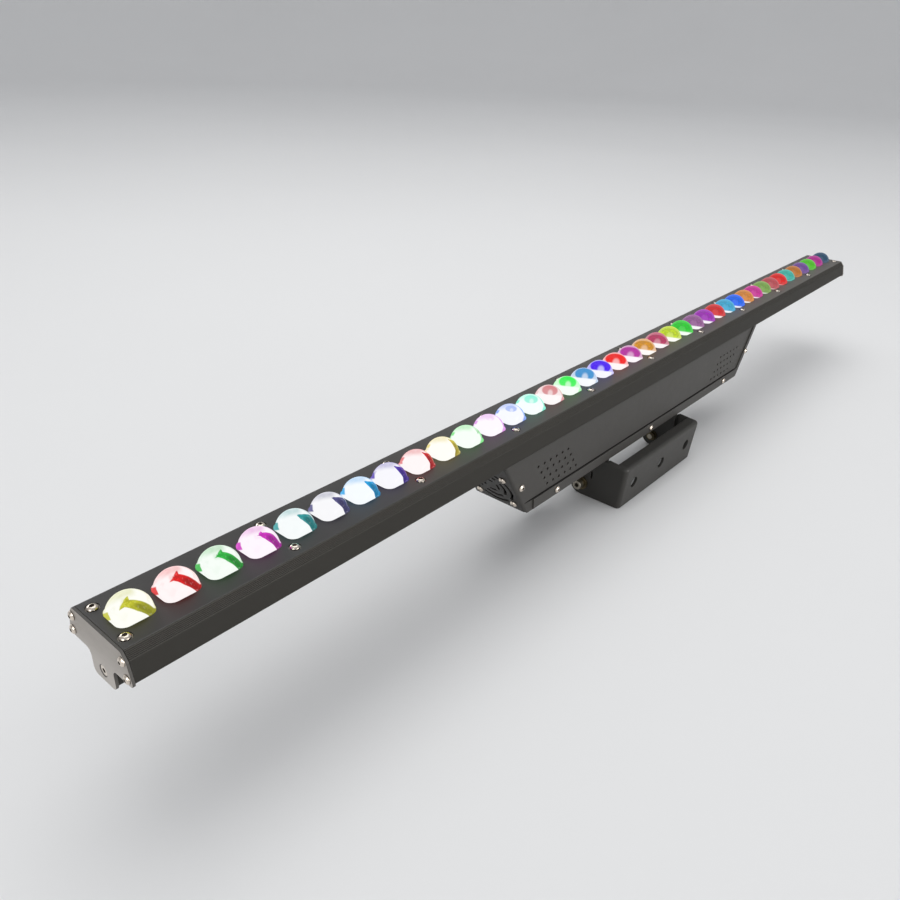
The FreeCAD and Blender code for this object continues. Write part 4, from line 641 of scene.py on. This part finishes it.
# dark strip along the cover's upper lip, front and back: painted shadow, a near-black strip that stands in for the
# shade line between the lip and the housing side
def shadow_strip(name, x0, x1, y, z, sy, r=0.62, out=0.34):
    n, seg = 60, 8
    verts, faces = [], []
    for i in range(n + 1):
        x = x0 + (x1 - x0) * i / n
        k = 1.0 if 0 < i < n else 0.35
        w = 1.0 + 0.10 * math.sin(i * 1.7) + 0.06 * math.sin(i * 4.1)
        for j in range(seg + 1):
            t = math.pi * (j / seg - 0.5)
            verts.append(tuple(W(x, y + sy * (out * k * w * math.cos(t) - 0.05), z + r * k * math.sin(t))))
    m1 = seg + 1
    for i in range(n):
        for j in range(seg):
            q = (i * m1 + j, (i + 1) * m1 + j, (i + 1) * m1 + j + 1, i * m1 + j + 1)
            faces.append(q if sy > 0 else q[::-1])
    faces.append(tuple(range(m1)))
    faces.append(tuple(n * m1 + j for j in range(m1)))
    me_ = bpy.data.meshes.new(name)
    me_.from_pydata(verts, [], faces)
    for p_ in me_.polygons:
        p_.use_smooth = True
    return add(name, me_, SHADOW_STRIP, "head")


shadow_strip("cover_lip_shadow_front", -195.0, 188.0, -24.4, -60.15, -1)
shadow_strip("cover_lip_shadow_rear", -195.0, 188.0, 24.4, -60.15, 1)

# ------------------------------------------------------------------ stage
FLOOR_Z = lo0.z - 0.0002


def sweep_floor(z0, r_flat=5.0, r_curve=3.0, wall=2.5, seg=96):
    """Seamless round studio sweep: a flat floor that curves up into a wall."""
    prof = [(r_flat * k / 6, z0) for k in range(1, 7)]
    prof += [(r_flat + r_curve * math.sin(math.radians(a_)), z0 + r_curve * (1 - math.cos(math.radians(a_)))) for a_ in range(6, 91, 6)]
    prof += [(r_flat + r_curve, z0 + r_curve + wall)]
    verts, faces = [(0, 0, z0)], []
    L = len(prof)
    for j in range(seg):
        t = 2 * math.pi * j / seg
        verts += [(r * math.cos(t), r * math.sin(t), z) for r, z in prof]
    for j in range(seg):
        a0, b0 = 1 + j * L, 1 + ((j + 1) % seg) * L
        faces.append((0, a0, b0))
        faces += [(a0 + k, a0 + k + 1, b0 + k + 1, b0 + k) for k in range(L - 1)]
    me_ = bpy.data.meshes.new("floor")
    me_.from_pydata(verts, [], faces)
    for p_ in me_.polygons:
        p_.use_smooth = True
    return me_


me = sweep_floor(FLOOR_Z)
floor = bpy.data.objects.new("floor", me)
bpy.context.scene.collection.objects.link(floor)
m, nt, b = new_mat("floor_pale")
f = noise(nt, coords(nt), 1.2, 4)
nt.links.new(ramp_color(nt, f, (0.74, 0.74, 0.735), (0.78, 0.78, 0.775)), b.inputs["Base Color"])
b.inputs["Roughness"].default_value = 0.7
me.materials.append(m)
# the bar swings below its yoke, so the floor drops out of its way as it tilts over
drop = floor.driver_add("location", 2)
drop.driver.type = "AVERAGE"
turn = drop.driver.variables.new()
turn.name, turn.type = "turn", "TRANSFORMS"
turn.targets[0].id = frame["bodies"]["head"]
turn.targets[0].transform_type = "ROT_X"
turn.targets[0].transform_space = "WORLD_SPACE"
for mod in list(drop.modifiers):
    drop.modifiers.remove(mod)
drop.keyframe_points.clear()
drop.keyframe_points.add(25)
for i, kp_ in enumerate(drop.keyframe_points):
    t_ = math.radians(-180 + 15 * i)
    kp_.co = (t_, 0.0515 * (math.cos(t_) - 1))
    kp_.interpolation = "LINEAR"
drop.update()

world = bpy.data.worlds.new("studio")
bpy.context.scene.world = world
world.use_nodes = True
wn = world.node_tree
wn.nodes.clear()
wo = wn.nodes.new("ShaderNodeOutputWorld")
bg = wn.nodes.new("ShaderNodeBackground")
wn.links.new(bg.outputs[0], wo.inputs[0])
bg.inputs["Color"].default_value = (0.93, 0.95, 1.0, 1)
bg.inputs["Strength"].default_value = 0.55


def area(name, loc, target, size, power, color=(1, 1, 1), size_y=None):
    d = bpy.data.lights.new(name, "AREA")
    d.energy = power
    d.color = color
    d.size = size
    if size_y:
        d.shape = "RECTANGLE"
        d.size_y = size_y
    o = bpy.data.objects.new(name, d)
    bpy.context.scene.collection.objects.link(o)
    o.location = loc
    o.rotation_mode = "QUATERNION"
    o.rotation_quaternion = (Vector(target) - Vector(loc)).to_track_quat("-Z", "Y")
    return o


def floor_link(light, name, state):
    """Keeps a light off the floor, or on the floor alone, so that the floor stays even from every side."""
    col = bpy.data.collections.new(name)
    col.objects.link(floor)
    col.collection_objects[0].light_linking.link_state = state
    light.light_linking.receiver_collection = col


key = area("key_front", (0.1, -2.1, 0.7), (0, 0, 0.05), 1.6, 46, (1.0, 0.985, 0.96), 0.9)
fill = area("fill_left", (-2.2, -0.5, 0.9), (0, 0, 0.05), 1.2, 16, (1.0, 0.99, 0.98))
area("top_soft", (0.2, 0.6, 2.0), (0, 0, 0.05), 1.8, 14, (1.0, 1.0, 1.0))
rear = area("rear_soft", (-0.5, 2.4, 0.8), (0, 0, 0.04), 1.5, 14, (1.0, 1.0, 1.0), 0.8)
sky = area("floor_soft", (0.0, -0.6, 4.2), (0, 0, 0.0), 7.0, 110, (1.0, 0.995, 0.985))
floor_link(key, "key_off_floor", "EXCLUDE")
floor_link(fill, "fill_off_floor", "EXCLUDE")
floor_link(rear, "rear_off_floor", "EXCLUDE")
floor_link(sky, "sky_on_floor", "INCLUDE")

# ------------------------------------------------------------------ camera
def look(az, el, roll):
    a_, e_ = math.radians(az), math.radians(el)
    back = Vector((math.sin(a_) * math.cos(e_), -math.cos(a_) * math.cos(e_), math.sin(e_)))
    rt = Vector((0, 0, 1)).cross(back).normalized()
    up = back.cross(rt)
    r = math.radians(roll)
    return (math.cos(r) * rt + math.sin(r) * up, -math.sin(r) * rt + math.cos(r) * up, back)


rt, up, back = look(-50.3546, 27.9235, 2.4436)
cam_d = bpy.data.cameras.new("camera")
cam_d.sensor_width = 36.0
cam_d.lens = 792.8542 / 900.0 * 36.0
cam_d.clip_start = 0.01
cam_d.clip_end = 60.0
cam = bpy.data.objects.new("camera", cam_d)
bpy.context.scene.collection.objects.link(cam)
cam.matrix_world = Matrix.Translation(W(-618.7042, -301.6632, 249.1738)) @ Matrix((rt, up, back)).transposed().to_4x4()
bpy.context.scene.camera = cam

bpy.context.scene.view_settings.view_transform = "Standard"
bpy.context.scene.view_settings.look = "None"
